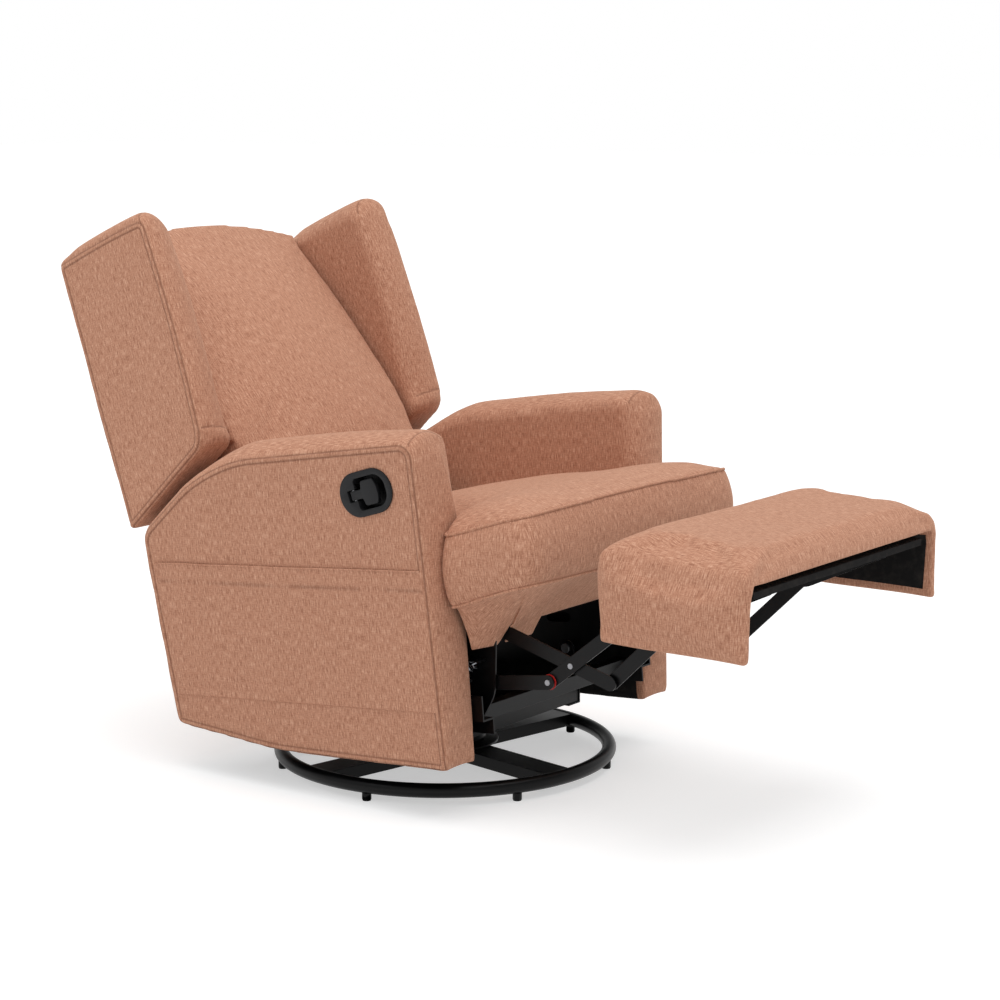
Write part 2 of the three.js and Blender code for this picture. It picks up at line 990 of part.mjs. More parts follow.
function solveLinkage() {
  const o = ottoman;
  const footOut = onFootrest(o.edgeOut, o.slopeOut, o.pivotSetback, o.pivotDrop);
  const footIn = onFootrest(o.edgeIn, o.slopeIn, o.pivotSetback, o.pivotDrop);
  const lengthC = apart(o.pivotC, o.crossing);
  const lengthB = apart(o.crossing, footOut);
  const crossingIn = lowerMeeting(o.pivotC, lengthC, footIn, lengthB);
  const tailBOut = plus(o.crossing, towards(footOut, o.crossing), o.tailB);
  const tailBIn = plus(crossingIn, towards(footIn, crossingIn), o.tailB);
  const tailCOut = plus(o.crossing, towards(o.pivotC, o.crossing), o.tailC);
  const tailCIn = plus(crossingIn, towards(o.pivotC, crossingIn), o.tailC);
  // link A's fixed pivot is as far from its end out as from its end folded
  const middle = [(tailBOut[0] + tailBIn[0]) / 2, (tailBOut[1] + tailBIn[1]) / 2];
  const travel = towards(tailBOut, tailBIn);
  const pivotA = plus(middle, [-travel[1], travel[0]], o.reachA);
  // link D is as long out as folded, which fixes its pivot along the bracket
  const startOut = onFootrest(o.edgeOut, o.slopeOut, 0, o.pivotDrop);
  const startIn = onFootrest(o.edgeIn, o.slopeIn, 0, o.pivotDrop);
  const alongOut = turned([-1, 0], THREE.MathUtils.degToRad(o.slopeOut));
  const alongIn = turned([-1, 0], THREE.MathUtils.degToRad(o.slopeIn));
  const offOut = [startOut[0] - tailCOut[0], startOut[1] - tailCOut[1]];
  const offIn = [startIn[0] - tailCIn[0], startIn[1] - tailCIn[1]];
  const slack = offIn[0] ** 2 + offIn[1] ** 2 - offOut[0] ** 2 - offOut[1] ** 2;
  const lever2 = offOut[0] * alongOut[0] + offOut[1] * alongOut[1] - offIn[0] * alongIn[0] - offIn[1] * alongIn[1];
  const setbackD = slack / (2 * lever2);
  const bracketD = onFootrest(o.edgeOut, o.slopeOut, setbackD, o.pivotDrop);
  const bracketDIn = onFootrest(o.edgeIn, o.slopeIn, setbackD, o.pivotDrop);
  const turns = {
    c: turnFrom(towards(o.pivotC, o.crossing), towards(o.pivotC, crossingIn)),
    b: turnFrom(towards(o.crossing, footOut), towards(crossingIn, footIn)),
    a: turnFrom(towards(pivotA, tailBOut), towards(pivotA, tailBIn)),
    d: turnFrom(towards(tailCOut, bracketD), towards(tailCIn, bracketDIn)),
    footrest: THREE.MathUtils.degToRad(o.slopeIn - o.slopeOut),
  };
  return { footOut, tailBOut, tailCOut, pivotA, bracketD, setbackD, turns };
}

const linkage = solveLinkage();

const layers = { a: 1, b: 2, c: 3, d: 4, bracket: 5 };

/** Outer face of a link's layer, or of the footrest bracket's. */
function layerFace(layer) {
  return mech.plateOuter - layer * mech.layerPitch;
}

/** Stamped link in a layer, bored at some points and with pins at others. */
function link(layer, points, bores, pins) {
  const face = layerFace(layer);
  const bars = [];
  for (let i = 0; i + 1 < points.length; i += 1) {
    bars.push(across(barOutline(points[i], points[i + 1], mech.linkHalfWidth), face - mech.sheet, mech.sheet));
  }
  const tools = bores.map((at) =>
    rodAcross(face - mech.sheet - cutOverrun, face + cutOverrun, at, mech.rivetRadius + pinClearance),
  );
  const solid = bars.length > 1 ? join(...bars) : bars[0];
  const bored = tools.length ? cut(solid, ...tools) : solid;
  const rods = pins.map(({ at, from, to }) => rodAcross(from, to, at, mech.rivetRadius));
  return rods.length ? join(bored, ...rods) : bored;
}

/** Pin from inside one layer to just short of the far face of another. */
function pinBetween(at, layerFrom, layerTo) {
  const inwards = layerTo > layerFrom;
  const from = layerFace(layerFrom) - (inwards ? mech.sheet : 0) / 2;
  const to = inwards ? layerFace(layerTo) - mech.sheet : layerFace(layerTo);
  return { at, from: Math.min(from, to), to: Math.max(from, to) };
}

/** Rivet head on the outer face of a layer. */
function rivetHead(at, layer) {
  const from = layerFace(layer) - mech.sheet / 2;
  return { at, from, to: layerFace(layer) + mech.sheet / 2 };
}

/** Pin that stops just short of the next link outboard, where the linkage is left open. */
function openPin(at, layer) {
  const from = layerFace(layer) - mech.sheet / 2;
  return { at, from, to: layerFace(layer - 1) - mech.sheet - seatGap };
}

const links = {
  a: link(layers.a, [linkage.pivotA, linkage.tailBOut], [linkage.pivotA], [
    rivetHead(linkage.tailBOut, layers.a),
  ]),
  b: link(layers.b, [linkage.tailBOut, linkage.footOut], [ottoman.crossing], [
    openPin(linkage.tailBOut, layers.b),
    pinBetween(linkage.footOut, layers.b, layers.bracket),
  ]),
  c: link(layers.c, [ottoman.pivotC, linkage.tailCOut], [ottoman.pivotC], [
    pinBetween(ottoman.crossing, layers.c, layers.b),
    pinBetween(linkage.tailCOut, layers.c, layers.d),
  ]),
  d: link(layers.d, [linkage.tailCOut, linkage.bracketD], [linkage.tailCOut], [
    rivetHead(linkage.bracketD, layers.d),
  ]),
};

for (const [letter, geometry] of Object.entries(links)) {
  placePair(`ottoman_link_${letter}`, geometry, blackSteel, chairBody);
}

// Side plate of the mechanism, with the bosses that carry links A and C and the spring posts

function mechanismPlate() {
  const face = mech.plateOuter;
  const eye = mech.linkHalfWidth + mech.eyeMargin;
  const [cy, cz] = ottoman.pivotC;
  const [ay, az] = linkage.pivotA;
  const profile = outline([
    [ay - eye, az - eye, eye],
    [frontChannel.front, mech.plateBottom, eye],
    [mech.plateRear, mech.plateBottom, eye],
    [mech.plateRear, mech.plateRearTop, eye],
    [seatFrame.rear, mech.plateTop, eye],
    [seatFrame.front + eye, mech.plateTop, eye / 2],
    [cy + mech.eyeMargin, cz + mech.linkHalfWidth, mech.eyeMargin],
    [cy - eye, cz + mech.eyeMargin, mech.eyeMargin],
  ]);
  const middle = (mech.plateBottom + mech.plateTop) / 2;
  const slots = [-1, 0, 1].map((step) => {
    const y = step * 4 * eye - eye;
    return across(
      barOutline([y - eye, middle], [y + eye, middle], eye / 2),
      face - mech.sheet - cutOverrun,
      mech.sheet + 2 * cutOverrun,
    );
  });
  const inside = face - mech.sheet / 2;
  const springPosts = [tensionSpring.front, tensionSpring.rear].map((at) =>
    rodAcross(inside, tensionSpring.x + tensionSpring.coilRadius, at, tensionSpring.postRadius, 12),
  );
  return join(
    cut(across(profile, face - mech.sheet, mech.sheet), ...slots),
    rodAcross(layerFace(layers.a) - mech.sheet, inside, linkage.pivotA, mech.rivetRadius),
    rodAcross(layerFace(layers.c) + seatGap, inside, ottoman.pivotC, mech.bossRadius),
    rodAcross(layerFace(layers.c) - mech.sheet, inside, ottoman.pivotC, mech.rivetRadius),
    ...springPosts,
  );
}

placePair("mechanism_plate", mechanismPlate(), blackSteel, chairBody);

/** Plastic washer round a pin, against the outer face of a link layer. */
function linkWasher(layer, at) {
  const x = layerFace(layer) + seatGap;
  const disc = rodAcross(x, x + washer.thickness, at, washer.radius, washer.sides);
  const bore = rodAcross(
    x - cutOverrun,
    x + washer.thickness + cutOverrun,
    at,
    mech.rivetRadius + pinClearance,
  );
  return cut(disc, bore);
}

placePair("washer_pivot_a", linkWasher(layers.a, linkage.pivotA), redPlastic, chairBody);
placePair("washer_link_ab", linkWasher(layers.b, linkage.tailBOut), redPlastic, chairBody);

// Tension springs beside the side plates

class CoilCurve extends THREE.Curve {
  constructor(from, to, radius, turns) {
    super();
    this.from = from;
    this.axis = to.clone().sub(from);
    this.radius = radius;
    this.turns = turns;
    const sideways = new THREE.Vector3(1, 0, 0);
    this.across = sideways;
    this.upwards = new THREE.Vector3().crossVectors(this.axis, sideways).normalize();
  }

  getPoint(t, target = new THREE.Vector3()) {
    const angle = 2 * Math.PI * this.turns * t;
    return target
      .copy(this.from)
      .addScaledVector(this.axis, t)
      .addScaledVector(this.across, this.radius * Math.cos(angle))
      .addScaledVector(this.upwards, this.radius * Math.sin(angle));
  }
}

/** Tube swept along a curve with its rings set square to the curve. */
function sweptCoil(curve, radius, steps, sides) {
  const frames = curve.computeFrenetFrames(steps, false);
  const positions = [];
  const centre = new THREE.Vector3();
  for (let i = 0; i <= steps; i += 1) {
    curve.getPoint(i / steps, centre);
    for (let k = 0; k < sides; k += 1) {
      const angle = (2 * Math.PI * k) / sides;
      const point = centre
        .clone()
        .addScaledVector(frames.normals[i], radius * Math.cos(angle))
        .addScaledVector(frames.binormals[i], radius * Math.sin(angle));
      positions.push(point.x, point.y, point.z);
    }
  }
  const faces = [];
  for (let i = 0; i < steps; i += 1) {
    for (let k = 0; k < sides; k += 1) {
      const [a, b] = [i * sides + k, i * sides + ((k + 1) % sides)];
      const [c, d] = [a + sides, b + sides];
      faces.push(a, b, c, b, d, c);
    }
  }
  const last = steps * sides;
  for (let k = 1; k + 1 < sides; k += 1) {
    faces.push(0, k + 1, k, last, last + k, last + k + 1);
  }
  const geometry = new THREE.BufferGeometry();
  geometry.setAttribute("position", new THREE.Float32BufferAttribute(positions, 3));
  geometry.setIndex(faces);
  geometry.computeVertexNormals();
  return geometry;
}

/** Least gap between the wires of neighbouring curls, measured on points of a coil. */
function leastCoilGap(coil, wireRadius, stepsPerTurn) {
  const steps = coil.turns * stepsPerTurn;
  const points = coil.getPoints(steps);
  let least = Infinity;
  for (let i = 0; i <= steps; i += 1) {
    for (let k = i + stepsPerTurn / 2; k <= steps; k += 1) {
      least = Math.min(least, points[i].distanceTo(points[k]) - 2 * wireRadius);
    }
  }
  return least;
}

function spring() {
  const s = tensionSpring;
  const along = towards(s.front, s.rear);
  const clear = s.postRadius + s.wireRadius + seatGap;
  const start = plus(s.front, along, s.hookLength);
  const end = plus(s.rear, along, -s.hookLength);
  const coil = new CoilCurve(
    new THREE.Vector3(s.x, ...start),
    new THREE.Vector3(s.x, ...end),
    s.coilRadius,
    s.turns,
  );
  const steps = s.turns * s.stepsPerTurn;
  const gap = leastCoilGap(coil, s.wireRadius, s.stepsPerTurn);
  console.log(`tension spring: least gap between curls ${gap.toFixed(2)} mm`);
  const hook = (post, coilEnd, sign) => {
    const tip = plus(post, along, sign * clear);
    const root = new THREE.Vector3(s.x + s.coilRadius, ...coilEnd);
    const path = new THREE.CatmullRomCurve3([
      new THREE.Vector3(s.x, ...plus(tip, along, sign * seatGap)),
      new THREE.Vector3(s.x + s.coilRadius / 2, ...plus(tip, along, (sign * s.hookLength) / 4)),
      root.clone().lerp(new THREE.Vector3(s.x, ...tip), 1 / 4),
      root,
    ]);
    return tube(path, s.wireRadius, s.stepsPerTurn / 2, s.sides + 1);
  };
  return join(
    sweptCoil(coil, s.wireRadius, steps, s.sides),
    hook(s.front, start, 1),
    hook(s.rear, end, -1),
  );
}

placePair("tension_spring", spring(), greySteel, chairBody);

// Arms: upholstered shells that widen upwards, each over its plywood frame

const armCorners = soften(
  [
    [arm.front, arm.bottomFront],
    arm.bottomBreak,
    [arm.rearFoot, arm.bottomRear],
    [arm.rear, arm.rearTop],
    [...arm.slopeTop, 6 * arm.round],
    [arm.front, arm.frontTop, 3 * arm.round],
  ],
  arm.round,
);

/** Outer half-width of the arm at a height. */
function armOuter(z) {
  const share = (z - arm.bottomFront) / (arm.frontTop - arm.bottomFront);
  return arm.outerBottom + (arm.outerTop - arm.outerBottom) * share;
}

const armWidth = arm.outerTop - arm.inner;

/** Widens a straight extrusion that starts at the arm's inner face. */
function flareArm(geometry, startWall = 0, endWall = 0) {
  const flat = armWidth - startWall - endWall;
  return reshape(geometry, (p) => {
    const share = (p.x - arm.inner - startWall) / flat;
    p.x = arm.inner + startWall + share * (armOuter(p.z) - arm.inner - startWall - endWall);
  });
}

/** Stadium prism about the lever's place on the arm, from one depth to another. */
function leverPrism(length, height, fromDepth, toDepth, sides = 8) {
  const half = (length - height) / 2;
  const shape = barOutline([-half, 0], [half, 0], height / 2);
  const prism = new THREE.ExtrudeGeometry(shape, {
    depth: toDepth - fromDepth,
    bevelEnabled: false,
    curveSegments: sides,
  });
  return prism.translate(0, 0, fromDepth);
}

const armSlant = Math.atan2(arm.outerTop - arm.outerBottom, arm.frontTop - arm.bottomFront);

/** Placement of a piece drawn with its length forwards on +X and outwards on +Z. */
function leverFrame() {
  // forwards is -Y, upwards is +Z and outwards is -X on the right-hand arm
  const basis = new THREE.Matrix4().set(0, 0, -1, 0, -1, 0, 0, 0, 0, 1, 0, 0, 0, 0, 0, 1);
  const turn = new THREE.Matrix4().makeRotationX(THREE.MathUtils.degToRad(-bezel.turn));
  const slant = new THREE.Matrix4().makeRotationY(-armSlant);
  const move = new THREE.Matrix4().makeTranslation(-armOuter(bezel.z), bezel.y, bezel.z);
  return move.multiply(slant).multiply(turn).multiply(basis);
}

function atLever(geometry) {
  return geometry.applyMatrix4(leverFrame());
}

const cupLength = bezel.length - 2 * bezel.rim;
const cupHeight = bezel.height - 2 * bezel.rim;

const cableTop = cupHeight / 2 / Math.cos(THREE.MathUtils.degToRad(bezel.turn)) + seatGap + cable.radius / 2;
const cableEnd = mech.plateOuter + seatGap + cable.radius / 5;

const cableRoute = [
  [-(armOuter(bezel.z) - cable.topShare * bezel.depth), bezel.y, bezel.z - cableTop],
  [-(body.half + 64), -154, 440],
  [-(body.half + 48), -168, 350],
  [-(body.half + 48), -184, 262],
  [-(body.half + 40), -200, 214],
  [-(body.half + 16), -208, 196],
  [-(body.half - 6), -214, 194],
  [-(body.half - 17), -220, 198],
  [-cableEnd, -222, 199],
];

function armShell() {
  const shell = flareArm(paddedAcross(outline(armCorners), arm.inner, armWidth, arm.round));
  const hollow = inset(armCorners, arm.wall).map(([y, z, ease], i) => [
    y,
    i < 3 ? z - arm.wall - cutOverrun : z,
    i < 3 ? 0 : ease,
  ]);
  const cavity = flareArm(
    across(outline(hollow), arm.inner + arm.wall, armWidth - 2 * arm.wall),
    arm.wall,
    arm.wall,
  );
  return cut(shell, cavity);
}

function armFrame() {
  const clear = arm.wall + seatGap;
  const outer = inset(armCorners, clear).map(([y, z, ease], i) => [y, z, i < 3 ? 0 : ease]);
  const shape = outline(outer);
  const rows = inset(armCorners, clear + arm.frameRail);
  const [frontLow, , rearLow, rearHigh, slopeHigh, frontHigh] = rows;
  const post = arm.frameRail / 2;
  const midY = (frontLow[0] + rearLow[0]) / 2;
  const low = frontLow[1] + arm.frameRail / 2;
  shape.holes.push(
    outline([
      [frontLow[0], low, post / 2],
      [frontLow[0], frontHigh[1], post / 2],
      [midY - post, frontHigh[1] - post / 2, post / 2],
      [midY - post, low, post / 2],
    ]),
  );
  shape.holes.push(
    outline([
      [midY + post, low, post / 2],
      [midY + post, slopeHigh[1], post / 2],
      [slopeHigh[0] - post, slopeHigh[1], post / 2],
      [rearHigh[0], rearHigh[1], post / 2],
      [rearLow[0], low, post / 2],
    ]),
  );
  const x0 = arm.inner + clear;
  return across(shape, x0, arm.frameSheet);
}

/** Arm frame on the right, with the hole that the release cable runs through. */
function rightArmFrame() {
  const [[, y0, z0], [, y1, z1]] = cableRoute.slice(4, 6);
  const inner = arm.inner + arm.wall;
  const at = [(y0 + y1) / 2, (z0 + z1) / 2];
  const tunnel = rodAcross(-inner - 2 * arm.frameSheet, -inner, at, cable.frameHole, 16);
  return cut(mirrorAcross(armFrame()), tunnel);
}

function rightArm() {
  const mouth = atLever(
    leverPrism(cupLength + 2 * seatGap, cupHeight + 2 * seatGap, -arm.wall - cutOverrun, cutOverrun),
  );
  const exit = rodAcross(
    -(arm.inner + arm.wall + cutOverrun),
    -(arm.inner - cutOverrun),
    [cableRoute[6][1] + cable.wallHole / 4, cableRoute[6][2]],
    cable.wallHole,
    16,
  );
  return cut(mirrorAcross(armShell()), mouth, exit);
}

place("arm_left", armShell(), fabric, chairBody);
place("arm_right", rightArm(), fabric, chairBody);
place("arm_frame_left", armFrame(), plywood, chairBody);
place("arm_frame_right", rightArmFrame(), plywood, chairBody);

/** Storage pocket sewn to the outside of the right-hand arm. */
function armPocket() {
  const rearAt = (z) => {
    const share = (z - arm.bottomRear) / (arm.rearTop - arm.bottomRear);
    return arm.rearFoot + (arm.rear - arm.rearFoot) * share - pocket.rearMargin;
  };
  const shape = outline([
    [arm.front + pocket.frontMargin, pocket.bottom],
    [rearAt(pocket.bottom), pocket.bottom],
    [rearAt(pocket.top), pocket.top],
    [arm.front + pocket.frontMargin, pocket.top],
  ]);
  const sheet = across(shape, 0, pocket.thickness);
  const placed = reshape(sheet, (p) => {
    p.x += armOuter(p.z) + seatGap;
  });
  return mirrorAcross(placed);
}

place("arm_pocket_right", armPocket(), fabric, chairBody);

// Release lever in its bezel, and its cable

function leverBezel() {
  const plate = leverPrism(bezel.length, bezel.height, seatGap, bezel.flange + seatGap, 8);
  const cup = leverPrism(cupLength, cupHeight, -bezel.depth, bezel.flange, 8);
  const b = bezel;
  const recess = outline([
    [b.recessRear, -b.recessHalf, b.recessHalf / 4],
    [b.recessFront, -b.recessHalf, b.recessHalf * softShare * softShare * (2 / 3)],
    [b.recessFront, b.recessHalf, b.recessHalf * softShare * softShare * (2 / 3)],
    [b.recessRear, b.recessHalf, b.recessHalf / 4],
  ]);
  const slot = outline([
    [b.slotRear, -b.slotHalf],
    [0, -b.slotHalf],
    [0, b.slotHalf],
    [b.slotRear, b.slotHalf],
  ]);
  const hollows = [recess, slot].map((shape) =>
    new THREE.ExtrudeGeometry(shape, {
      depth: b.depth - b.floor + b.flange + cutOverrun,
      bevelEnabled: false,
      curveSegments: 8,
    }).translate(0, 0, b.floor - b.depth),
  );
  return atLever(cut(join(plate, cup), ...hollows));
}

const paddleTop = bezel.flange - lever.sink;

function releaseLever() {
  const l = lever;
  const soft = l.stemHalf / 2;
  const paddle = outline([
    [-l.hinge, -l.stemHalf],
    [l.shoulder, -l.stemHalf, soft / 2],
    [l.headRear, -l.headHalf, soft],
    [l.headFront, -l.headHalf, soft],
    [l.nose, -l.stemHalf, soft],
    [l.nose, l.stemHalf, soft],
    [l.headFront, l.headHalf, soft],
    [l.headRear, l.headHalf, soft],
    [l.shoulder, l.stemHalf, soft / 2],
    [-l.hinge, l.stemHalf],
  ]);
  const plate = new THREE.ExtrudeGeometry(paddle, {
    depth: l.thickness,
    bevelEnabled: false,
    curveSegments: 3,
  });
  plate.translate(0, 0, paddleTop - l.thickness);
  const axis = paddleTop - l.barrelRadius;
  const barrel = new THREE.CylinderGeometry(l.barrelRadius, l.barrelRadius, 2 * l.stemHalf, 12);
  barrel.translate(-l.hinge, 0, axis);
  const bore = new THREE.CylinderGeometry(
    l.pinRadius + pinClearance / 2,
    l.pinRadius + pinClearance / 2,
    2 * l.stemHalf + 2 * cutOverrun,
    12,
  );
  bore.translate(-l.hinge, 0, axis);
  return atLever(cut(join(plate, barrel), bore));
}

function leverPin() {
  const half = bezel.slotHalf - seatGap;
  const pin = new THREE.CylinderGeometry(lever.pinRadius, lever.pinRadius, 2 * half, 12);
  return atLever(pin.translate(-lever.hinge, 0, paddleTop - lever.barrelRadius));
}

function releaseCable() {
  const route = new THREE.CatmullRomCurve3(cableRoute.map((point) => new THREE.Vector3(...point)));
  return tube(route, cable.radius, cable.steps, cable.sides);
}

place("lever_bezel", leverBezel(), blackPlastic, chairBody);
place("release_lever", releaseLever(), blackPlastic, chairBody);
place("lever_pin", leverPin(), greySteel, chairBody);
place("release_cable", releaseCable(), blackPlastic, chairBody);

// Seat: timber frame, springs, T-shaped cushion and the apron under its front

function seatTimber() {
  const f = seatFrame;
  const shape = outline([
    [-f.half, f.front],
    [f.half, f.front],
    [f.half, f.rear],
    [-f.half, f.rear],
  ]);
  const opening = f.half - f.rail;
  shape.holes.push(
    outline([
      [-opening, f.front + f.rail, f.rail / 4],
      [-opening, f.rear - f.rail, f.rail / 4],
      [opening, f.rear - f.rail, f.rail / 4],
      [opening, f.front + f.rail, f.rail / 4],
    ]),
  );
  const timber = new THREE.ExtrudeGeometry(shape, { depth: f.thickness, bevelEnabled: false });
  return timber.translate(0, 0, f.bottom);
}

/** Zigzag wires along Y joined by two tie wires, in the plane z = 0. */
function sinuousSprings({ count, pitch, wireRadius, wave, waves, tieRadius }, from, to, halfWidth) {
  const wires = [];
  const steps = waves * seatSprings.stepsPerWave;
  for (let i = 0; i < count; i += 1) {
    const x = (i - (count - 1) / 2) * pitch;
    const points = [];
    for (let k = 0; k <= steps; k += 1) {
      const share = k / steps;
      const swing = wave * Math.sin(2 * Math.PI * waves * share);
      points.push(new THREE.Vector3(x + swing, from + (to - from) * share, 0));
    }
    wires.push(tube(new THREE.CatmullRomCurve3(points), wireRadius, steps, seatSprings.sides));
  }
  const ties = [1, 2].map((third) => {
    const y = from + ((to - from) * third) / 3;
    return rodAcross(-halfWidth, halfWidth, [y, 0], tieRadius, 6);
  });
  return join(...wires, ...ties);
}

function seatSpringSet() {
  const f = seatFrame;
  const clear = f.rail + seatGap + seatSprings.wireRadius;
  const wires = sinuousSprings(seatSprings, f.front + clear, f.rear - clear, f.half - clear);
  return wires.translate(0, 0, f.bottom + f.thickness - seatSprings.drop);
}

/** T-shaped cushion: crowned top, boxing that swells between its seams, drawn-in corners. */
function tCushion() {
  const s = seat;
  const counts = [12, 14, 4];
  const box = new THREE.BoxGeometry(2, 1, 1, ...counts);
  // rows from rear to front, packed closer round the step at the arm fronts
  const rows = [
    [0, s.rear],
    [8 / counts[1], s.earRear + s.earStep],
    [9 / counts[1], s.earRear],
    [1, s.front],
  ];
  const top = [
    [s.front, s.topFront],
    [s.earRear, s.topEar],
    [s.rear, s.topRear],
  ];
  return reshape(box, (p) => {
    const share = 0.5 - p.y;
    const height = p.z + 0.5;
    const y = between(rows, share);
    const half = between(
      [
        [s.earRear, s.earHalf],
        [s.earRear + s.earStep, s.half],
      ],
      y,
    );
    const swell = s.boxBulge * 4 * height * (1 - height);
    const across2 = p.x * p.x;
    const forward = (y - s.rear) / (s.front - s.rear);
    const edge = 1 - across2 * across2 * across2;
    const crown = s.crown * edge * (1 - (2 * forward - 1) ** 6) * height;
    const corner = across2 * across2 * forward ** 8 * s.boxBulge;
    const sideSwell = y < s.earRear + 1 ? swell : 0;
    const width = half - s.boxBulge * (half > s.half + 1 ? 1 : 0);
    const base = cushionBottom(y);
    p.x *= width + sideSwell * (1 - Math.abs(height - 0.5));
    p.y = y + (forward > 0.999 ? s.boxBulge - swell + corner : 0);
    p.z = base + height * (between(top, y) - base) + crown;
  });
}

/** Height of the cushion's bottom face at a depth. */
function cushionBottom(y) {
  return between(
    [
      [seat.front, seat.bottomFront],
      [seat.earRear, seat.bottomEar],
      [seat.earRear + (seat.rear - seat.earRear) / 8, seat.bottomRear],
      [seat.rear, seat.bottomRear],
    ],
    y,
  );
}

/** Fabric apron from the cushion's front seam back to the timber frame. */
function seatApron() {
  const a = apron;
  const slope = outline([
    [a.topY, cushionBottom(a.topY) - seatGap],
    [a.topY + a.edgeEase, cushionBottom(a.topY) - 2 * a.sheet],
    [a.rearY - a.edgeEase, a.rearZ],
    [a.rearY, a.rearZ],
    [a.rearY, a.rearZ + a.sheet + a.edgeEase],
    [a.rearY - a.edgeEase, a.rearZ + a.sheet + a.edgeEase],
    [a.topY + 2 * a.edgeEase, cushionBottom(a.topY + 2 * a.edgeEase) - seatGap],
  ]);
  const sheet = across(slope, -a.half, 2 * a.half);
  const flap = outline([
    [a.rearY, a.rearZ + a.edgeEase],
    [a.rearY - a.sideDepth - a.edgeEase, a.rearZ + a.edgeEase + a.sideDepth / 2],
    [a.rearY - a.sideDepth / 2, a.rearZ - a.sideDrop, a.edgeEase / 2],
    [a.rearY, a.rearZ - a.sideDrop, a.edgeEase / 2],
  ].reverse());
  const left = across(flap, a.half - a.sideWidth, a.sideWidth);
  const front = a.rearY - a.sheet;
  const seam = a.rearZ + a.edgeEase;
  const tab = block([a.tabInner, front, a.rearZ - a.tabDrop], [a.tabOuter, a.rearY, seam]);
  const middle = block([-a.tabInner, front, a.rearZ - a.middleDrop], [a.tabInner, a.rearY, seam]);
  return join(sheet, left, mirrorAcross(left), tab, mirrorAcross(tab), middle);
}

place("seat_frame", seatTimber(), plywood, chairBody);
place("seat_springs", seatSpringSet(), greySteel, chairBody);
place("seat_cushion", tCushion(), fabric, chairBody);
place("seat_apron", seatApron(), fabric, chairBody);

/** Covered panel that closes the chair's rear below the back. */
function rearPanelPad() {
  const r = rearPanel;
  const shape = outline([
    [r.front, r.bottom],
    [r.rear, r.bottom],
    [r.rear, r.top],
    [r.front, r.top],
  ]);
  const half = arm.inner - seatGap;
  return paddedAcross(shape, -half, 2 * half, r.round);
}

place("rear_panel", rearPanelPad(), fabric, chairBody);

// Back rest, drawn in its own leaning group: y = -u and z = v

/** Turns [u, v] corners into [y, z] corners that run the right way round. */
function backOutline(corners) {
  return outline(corners.map(([u, v, ease]) => [-u, v, ease]).reverse());
}

const backPivotLocal = (() => {
  recliner.updateMatrixWorld(true);
  const world = chairBody.localToWorld(new THREE.Vector3(0, ...backPivot));
  const local = backRest.worldToLocal(world);
  return [-local.y, local.z];
})();

function wingPad() {
  const w = wing;
  const width = w.outerBottom - w.inner;
  const corners = soften(
    [
      [w.rear, 0],
      [w.lowFrontReach, w.lowFront],
      [w.middleReach, w.middle, 4 * w.round],
      [w.front, w.top, 2 * w.round],
      [w.rear, w.topRear],
    ],
    w.round,
  );
  const shape = backOutline(corners);
  const pad = paddedAcross(shape, w.inner, width, w.round);
  return reshape(pad, (p) => {
    const share = Math.min(1, Math.max(0, p.z / w.top));
    const outer = w.outerBottom + (w.outerTop - w.outerBottom) * share;
    p.x = w.inner + ((p.x - w.inner) * (outer - w.inner)) / width;
  });
}

/** Outline across the back: wide above the shoulder, narrow between the arms. */
function shoulderedOutline(half, lowHalf, bottom, shoulder, top, arch) {
  const shape = new THREE.Shape();
  shape.moveTo(-lowHalf, bottom);
  shape.lineTo(lowHalf, bottom);
  shape.lineTo(lowHalf, shoulder - (half - lowHalf));
  shape.lineTo(half, shoulder);
  shape.lineTo(half, top);
  if (arch > 0) {
    shape.quadraticCurveTo(0, top + 2 * arch, -half, top);
  } else {
    shape.lineTo(-half, top);
  }
  shape.lineTo(-half, shoulder);
  shape.lineTo(-lowHalf, shoulder - (half - lowHalf));
  shape.closePath();
  return shape;
}

/** Stands an (x, v) shape up and gives it a thickness forward from u. */
function standing(shape, u, thickness, curveSegments = 8) {
  const sheet = new THREE.ExtrudeGeometry(shape, { depth: thickness, bevelEnabled: false, curveSegments });
  return sheet.rotateX(Math.PI / 2).translate(0, -u, 0);
}

function backTimber() {
  const f = backFrame;
  const shape = shoulderedOutline(f.half, f.lowHalf, f.bottom, f.shoulder, f.top, 0);
  const opening = f.lowHalf - f.post;
  for (const [low, high] of [
    [f.bottom + f.rail, f.middle],
    [f.middle + f.rail, f.top - f.rail],
  ]) {
    shape.holes.push(
      outline([
        [-opening, low, f.rail / 4],
        [-opening, high, f.rail / 4],
        [opening, high, f.rail / 4],
        [opening, low, f.rail / 4],
      ]),
    );
  }
  return standing(shape, f.rear, f.thickness);
}

/** Back springs in the lower window of the timber frame. */
function backSpringSet() {
  const f = backFrame;
  const clear = seatGap + backSprings.wireRadius;
  const from = f.bottom + f.rail + clear;
  const to = f.middle - clear;
  const opening = f.lowHalf - f.post;
  const set = { ...backSprings, pitch: backSprings.pitchShare * opening };
  const wires = sinuousSprings(set, from, to, opening - seatGap);
  return wires.rotateX(Math.PI / 2).translate(0, -(f.rear + f.thickness / 2), 0);
}

function outsideBackPanel() {
  const o = outsideBack;
  const shape = shoulderedOutline(o.half, o.lowHalf, o.bottom, backFrame.shoulder, o.top, o.arch);
  return standing(shape, o.rear, o.thickness, 10);
}

